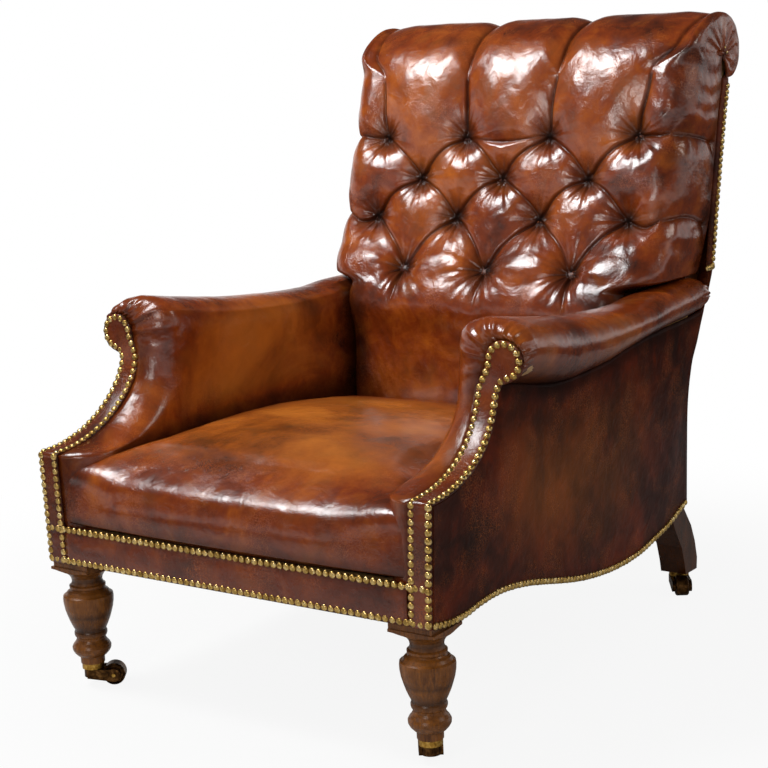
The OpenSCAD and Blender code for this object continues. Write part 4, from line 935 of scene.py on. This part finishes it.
def facing(side, name, node):
    across = np.linspace(0, 1, 15)
    off_middle = np.abs(2 * across - 1)
    dome = 2.6 * (1 - off_middle ** 2.6)
    rows = [np.stack([side * (x_in + (x_out - x_in) * across), y + n[0] * dome, z + n[1] * dome], axis=-1)
            for y, z, x_in, x_out, n in facing_rows()]
    # Painted shade along both edges of the strip
    fold = np.tile(0.4 * smooth(0.55, 1.0, off_middle), (len(rows), 1))
    return panel(name, rows, (0, -1, 0), 3.0, EDGE_HIDE, node, (0.2, 0.5), fold)


def border():
    x = np.linspace(-FACING_IN, FACING_IN, 90)
    share = np.linspace(0, 1, 14)
    rows = []
    for t in share:
        dome = 2.4 * (1 - abs(2 * t - 1) ** 2.6)
        y = -dome + 0.25 * wobble(x / 30, t * 3 + 0 * x, 1.0)
        rows.append(np.stack([x, y, HEM_Z + 56 * t + 0 * x], axis=-1))
    # Painted shade along both edges of the strip
    fold = np.tile((0.35 * smooth(0.6, 1.0, np.abs(2 * share - 1)))[:, None], (1, len(x)))
    return panel("front_border_cover", rows, (0, -1, 0), 3.0, EDGE_HIDE, "front_border", fold=fold)


def outside_back():
    low, high = 175, 915
    zs = np.linspace(low, high, 110)
    share = np.linspace(-1, 1, 72)
    rows = []
    for z, y in zip(zs, curve(REAR_ROWS, zs)):
        half = REAR_HALF + (BACK_HALF - REAR_HALF) * min(1, (z - low) / 345)
        full = (1 - np.abs(share) ** 3) * math.sin(math.pi * (z - low) / (high - low)) ** 0.5
        rows.append(np.stack([half * share, y + 2.5 * full, z + 0 * share], axis=-1))
    return panel("outside_back_cover", rows, (0, 1, 0), 2.5, SHADED_PANEL_HIDE, "outside_back",
                 fold=np.zeros((len(zs), len(share))))


def side_strip(side, name, node):
    zs = np.linspace(592, 919, 70)
    share = np.linspace(0, 1, 9)
    x = side * (350.6 + 1.6 * (1 - (2 * share - 1) ** 4))
    rows = [np.stack([x, y - 1.5 - 27 + 27 * share, np.full(len(share), z)], axis=-1)
            for y, z in zip(curve(REAR_ROWS, zs), zs)]
    # Painted shade along both edges of the strip
    fold = np.tile(0.25 * smooth(0.5, 1, np.abs(2 * share - 1)), (len(zs), 1))
    return panel(name, rows, (side, 0, 0), 2.5, SHADED_PANEL_HIDE, node, fold=fold)


# Nails
NAIL_PITCH, NAIL_R, NAIL_SPREAD, NAIL_LEAN = 11.8, 5.6, 0.05, 0.09


def spaced(points, aims, pitch=NAIL_PITCH):
    """Evenly spaced places along a run of points, with the directions in which their nails look."""
    p, n = np.array(points, float), np.array(aims, float)
    run = np.r_[0, np.cumsum(np.linalg.norm(np.diff(p, axis=0), axis=1))]
    at = np.linspace(0, run[-1], max(1, int(round(run[-1] / pitch))) + 1)
    return [np.stack([np.interp(at, run, values[:, i]) for i in range(3)], axis=-1) for values in (p, n)]


def facing_run(side):
    """Nail run up the outer edge of a facing, round the scroll and down its inner edge."""
    inset, turn_in = 6.0, 25
    outer, inner = [], []
    for y, z, x_in, x_out, n in facing_rows():
        if z < 217:
            continue
        if z <= 512:
            outer.append((x_out - inset + 0.8 if z < 505 else 359.8, y, z, n))
        if z <= 545:
            inner.append((x_in + inset, y, z, n))
    turns = [math.radians(a) for a in np.linspace(-62, 180, 34)]
    scroll = [(SCROLL_X + turn_in * math.cos(a), SCROLL_Y, SCROLL_Z + turn_in * math.sin(a), FORWARDS)
              for a in turns]
    neck = [(364, SCROLL_Y, 520.0, FORWARDS), (372.5, SCROLL_Y, 526.5, FORWARDS)]
    run = outer + neck + scroll + inner[::-1]
    points = [(side * x, y + n[0] * 1.2, z + n[1] * 1.2) for x, y, z, n in run]
    aims = [(0, n[0], n[1]) for x, y, z, n in run]
    return points, aims


def nail_rows():
    """Places and directions of every nail."""
    places, aims = [], []

    def row(points, directions, pitch=NAIL_PITCH):
        p, a = spaced(points, directions, pitch)
        places.append(p)
        aims.append(a)

    # Two rows across the front border
    row([(-359, -0.4, 217.5), (359, -0.4, 217.5)], [(0, -1, 0)] * 2)
    row([(-353, -1.0, 268.5), (353, -1.0, 268.5)], [(0, -1, 0)] * 2)
    for side in (-1, 1):
        row(*facing_run(side))
        # Hem of the outside arm, then the side strip, its foot and the ring in the end of the roll
        ys = np.linspace(9, 888, 90)
        hem = curve(HEM, ys) + 5.5
        xs = side_x(ys, hem) + 0.8
        row([(side * x, y, z) for x, y, z in zip(xs, ys, hem)], [(side, 0, 0)] * 90)
        zs = np.linspace(600, 905, 40)
        back = curve(REAR_ROWS, zs) - 6.5
        row([(side * 352.2, y, z) for y, z in zip(back, zs)], [(side, 0, 0)] * 40, pitch=10.6)
        row([(side * 352.0, 905, 596.5), (side * 352.0, 928, 597.0)], [(side, 0, 0)] * 2, pitch=9.0)
        ring = [(side * 346.5, ROLL_HEART[0] + 17 * math.cos(math.radians(t)),
                 ROLL_HEART[1] + 17 * math.sin(math.radians(t))) for t in (150, 90, 30, -30)]
        row(ring, [(side, 0, 0)] * 4, pitch=14.0)
    row([(-306, 900.5, 181), (306, 900.5, 181)], [(0, 1, 0)] * 2)
    return placed(np.concatenate(places)), np.concatenate(aims)


def nail_tree():
    """Sets one nail head on each vertex of a mesh, along its aim, with a fixed-seed turn and lean."""
    tree = bpy.data.node_groups.new("Nail rows", "GeometryNodeTree")
    face = tree.interface
    face.new_socket("Places", in_out="INPUT", socket_type="NodeSocketGeometry")
    sockets = {}
    for label, kind, value in (("Head", "Object", None), ("Radius", "Float", NAIL_R * 0.001),
                               ("Size spread", "Float", NAIL_SPREAD), ("Lean", "Float", NAIL_LEAN),
                               ("Brass", "Material", None)):
        s = face.new_socket(label, in_out="INPUT", socket_type="NodeSocket" + kind)
        if value is not None:
            s.default_value = value
        sockets[label] = s.identifier
    face.new_socket("Nails", in_out="OUTPUT", socket_type="NodeSocketGeometry")
    given = add_node(tree, "NodeGroupInput").outputs
    head = add_node(tree, "GeometryNodeObjectInfo", {"Object": given["Head"]}, transform_space="ORIGINAL")
    aim = add_node(tree, "GeometryNodeInputNamedAttribute", {"Name": "aim"}, data_type="FLOAT_VECTOR")
    upright = add_node(tree, "FunctionNodeAlignRotationToVector", {"Vector": aim.outputs[0]}, axis="Z")
    # Any turn about the nail's own axis, and a small lean
    lean_back = maths(tree, "MULTIPLY", given["Lean"], -1.0)
    high, low = [add_node(tree, "ShaderNodeCombineXYZ", {"X": tip, "Y": tip, "Z": turn}).outputs[0]
                 for tip, turn in ((given["Lean"], 3.14), (lean_back, -3.14))]
    sway = add_node(tree, "FunctionNodeRandomValue", {"Seed": 7, 0: low, 1: high}, data_type="FLOAT_VECTOR")
    turned = add_node(tree, "FunctionNodeRotateRotation",
                      {"Rotation": upright.outputs[0], "Rotate By": sway.outputs[0]}, rotation_space="LOCAL")
    small = maths(tree, "SUBTRACT", 1.0, given["Size spread"])
    large = maths(tree, "ADD", 1.0, given["Size spread"])
    size = add_node(tree, "FunctionNodeRandomValue", {"Seed": 11, 2: small, 3: large}, data_type="FLOAT")
    radius = maths(tree, "MULTIPLY", size.outputs[1], given["Radius"])
    points = add_node(tree, "GeometryNodeMeshToPoints", {"Mesh": given["Places"]}).outputs[0]
    heads = add_node(tree, "GeometryNodeInstanceOnPoints", {
        "Points": points, "Instance": head.outputs["Geometry"], "Rotation": turned.outputs[0], "Scale": radius})
    real = add_node(tree, "GeometryNodeRealizeInstances", {"Geometry": heads.outputs[0]}).outputs[0]
    brass = add_node(tree, "GeometryNodeSetMaterial", {"Geometry": real, "Material": given["Brass"]})
    add_node(tree, "NodeGroupOutput", {"Nails": brass.outputs[0]})
    return tree, sockets


def nails():
    """Round-headed brass nails, their skirts just under the leather."""
    places, aims = nail_rows()
    obj = new_object("brass_nails", places, [])
    a = obj.data.attributes.new("aim", "FLOAT_VECTOR", "POINT")
    a.data.foreach_set("vector", np.asarray(aims, np.float32).ravel())
    pattern = new_object("nail_head_pattern",
                         *domed([(1.0, -0.25), (1.0, 0.08), (0.86, 0.34), (0.50, 0.55)], 10, -0.25, 0.62))
    tree, sockets = nail_tree()
    m = obj.modifiers.new("Nail rows", "NODES")
    m.node_group = tree
    for label, value in (("Head", pattern), ("Radius", NAIL_R * 0.001), ("Size spread", NAIL_SPREAD),
                         ("Lean", NAIL_LEAN), ("Brass", NAIL_BRASS)):
        m[sockets[label]] = value
    settled(obj)
    obj.data.shade_smooth()
    bpy.data.objects.remove(pattern)
    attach(obj, BODY)
    return obj


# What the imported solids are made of
# Parts of node names with the material of those solids; the first that fits counts
SOLID_MATERIALS = [("front_leg", LEG_WOOD), ("rear_post", POST_WOOD), ("_cup", CUP_BRASS),
                   ("_axle", CUP_BRASS), ("_horn", BRONZE), ("_wheel", BRONZE), ("webbing", LINEN),
                   ("dust_cover", BLACK_CLOTH), ("rail", PLAIN_WOOD), ("block", PLAIN_WOOD),
                   ("post", PLAIN_WOOD)]


def finish_solids():
    for name, obj in frame["nodes"].items():
        fitting = [mat for word, mat in SOLID_MATERIALS if word in name]
        if fitting:
            dress(obj, fitting[0])


# Room, lamps and camera
def floor():
    """White paper under the chair: it keeps the shadow and runs out into the white of the background."""
    count, radius = 96, 1.7
    turns = [2 * math.pi * k / count for k in range(count)]
    rim = [(radius * math.cos(a), radius * math.sin(a), 0) for a in turns]
    obj = new_object("floor", rim + [(0, 0, 0)], [(k, (k + 1) % count, count) for k in range(count)],
                     smooth_faces=False)

    def surface(t, where):
        far = add_node(t, "ShaderNodeVectorMath", {0: where}, operation="LENGTH").outputs["Value"]
        runs_out = spread(t, far, 0.55, 1.45, 0.90, 1.0, "SMOOTHSTEP")
        seen = add_node(t, "ShaderNodeLightPath").outputs["Is Camera Ray"]
        paper = principled(t, srgb("#cbcbc9"), Roughness=0.95, Specular_IOR_Level=0.1)
        white = add_node(t, "ShaderNodeEmission", {"Color": (1, 1, 1, 1), "Strength": 1.0})
        share = maths(t, "MULTIPLY", seen, runs_out)
        return add_node(t, "ShaderNodeMixShader", {0: share, 1: paper.outputs[0], 2: white.outputs[0]})
    dress(obj, material("White paper sweep", surface))


def world():
    """White for the camera, a white band round the horizon for gloss to mirror, and dim light otherwise."""
    w = bpy.data.worlds.new("Studio")
    bpy.context.scene.world = w
    w.use_nodes = True
    t = w.node_tree
    t.nodes.clear()
    path = add_node(t, "ShaderNodeLightPath").outputs
    looking = add_node(t, "ShaderNodeTexCoord").outputs["Generated"]
    height = add_node(t, "ShaderNodeSeparateXYZ", {"Vector": looking}).outputs["Z"]
    band = spread(t, height, 0.30, 0.12, kind="SMOOTHSTEP")
    band = maths(t, "MULTIPLY", band, maths(t, "GREATER_THAN", height, -0.02))
    seen = maths(t, "MAXIMUM", path["Is Camera Ray"], path["Is Transmission Ray"])
    seen = maths(t, "MAXIMUM", seen, maths(t, "MULTIPLY", path["Is Glossy Ray"], band))
    dim_level = spread(t, path["Is Glossy Ray"], 0.0, 1.0, 0.40, 0.05)
    white = add_node(t, "ShaderNodeBackground", {"Color": (1, 1, 1, 1), "Strength": 1.0})
    dim = add_node(t, "ShaderNodeBackground", {"Color": (0.95, 0.97, 1, 1), "Strength": dim_level})
    both = add_node(t, "ShaderNodeMixShader", {0: seen, 1: dim.outputs[0], 2: white.outputs[0]})
    add_node(t, "ShaderNodeOutputWorld", {"Surface": both.outputs[0]})


def lamp(name, place, target, size, power, colour=(1, 1, 1)):
    data = bpy.data.lights.new(name, "AREA")
    data.shape = "RECTANGLE"
    data.size, data.size_y = size
    data.energy = power
    data.color = colour
    obj = linked(name, data)
    obj.location = place
    obj.rotation_mode = "QUATERNION"
    obj.rotation_quaternion = (Vector(target) - Vector(place)).to_track_quat("-Z", "Y")


# The photograph's camera: focal length and width in pixels; compass, height and roll angles; its place in mm
FOCAL_PX, PHOTO_PX = 1761.1, 768
CAMERA_ANGLES = (35.59, 10.57, -2.38)
CAMERA_PLACE = (1654.36, -1889.61 - HALF_DEPTH, 981.84)


def camera():
    data = bpy.data.cameras.new("Camera")
    data.sensor_width = 36
    data.lens = FOCAL_PX / PHOTO_PX * 36
    data.clip_start, data.clip_end = 0.05, 60
    cam = linked("Camera", data)
    az, el, roll = (math.radians(v) for v in CAMERA_ANGLES)
    back = Vector((math.sin(az) * math.cos(el), -math.cos(az) * math.cos(el), math.sin(el)))
    right = Vector((math.cos(az), math.sin(az), 0))
    up = back.cross(right)
    r2 = math.cos(roll) * right + math.sin(roll) * up
    u2 = -math.sin(roll) * right + math.cos(roll) * up
    turn = Matrix((r2, u2, back)).transposed()
    place = Vector(CAMERA_PLACE) * 0.001
    cam.matrix_world = Matrix.Translation(place) @ turn.to_4x4()
    bpy.context.scene.camera = cam


camera()
back_pad()
buttons()
seat()
arms()
for side, word in ((-1, "left"), (1, "right")):
    outside_arm(side, f"outside_arm_cover_{word}", f"outside_arm_{word}")
    facing(side, f"facing_cover_{word}", f"arm_facing_{word}")
    side_strip(side, f"back_strip_cover_{word}", f"back_strip_{word}")
border()
outside_back()
nails()
finish_solids()
floor()
world()
lamp("Window", (-1.35, -1.0, 2.75), (0, 0.1, 0.6), (0.75, 1.0), 68, (0.97, 0.985, 1))
lamp("Front fill", (0.6, -3.2, 1.9), (0, 0, 0.5), (0.9, 0.7), 20, (1, 0.97, 0.93))
lamp("Side fill", (2.9, 0.9, 2.3), (0, 0, 0.5), (0.9, 0.9), 14, (1, 0.93, 0.85))

scene = bpy.context.scene
scene.view_settings.view_transform = "Standard"
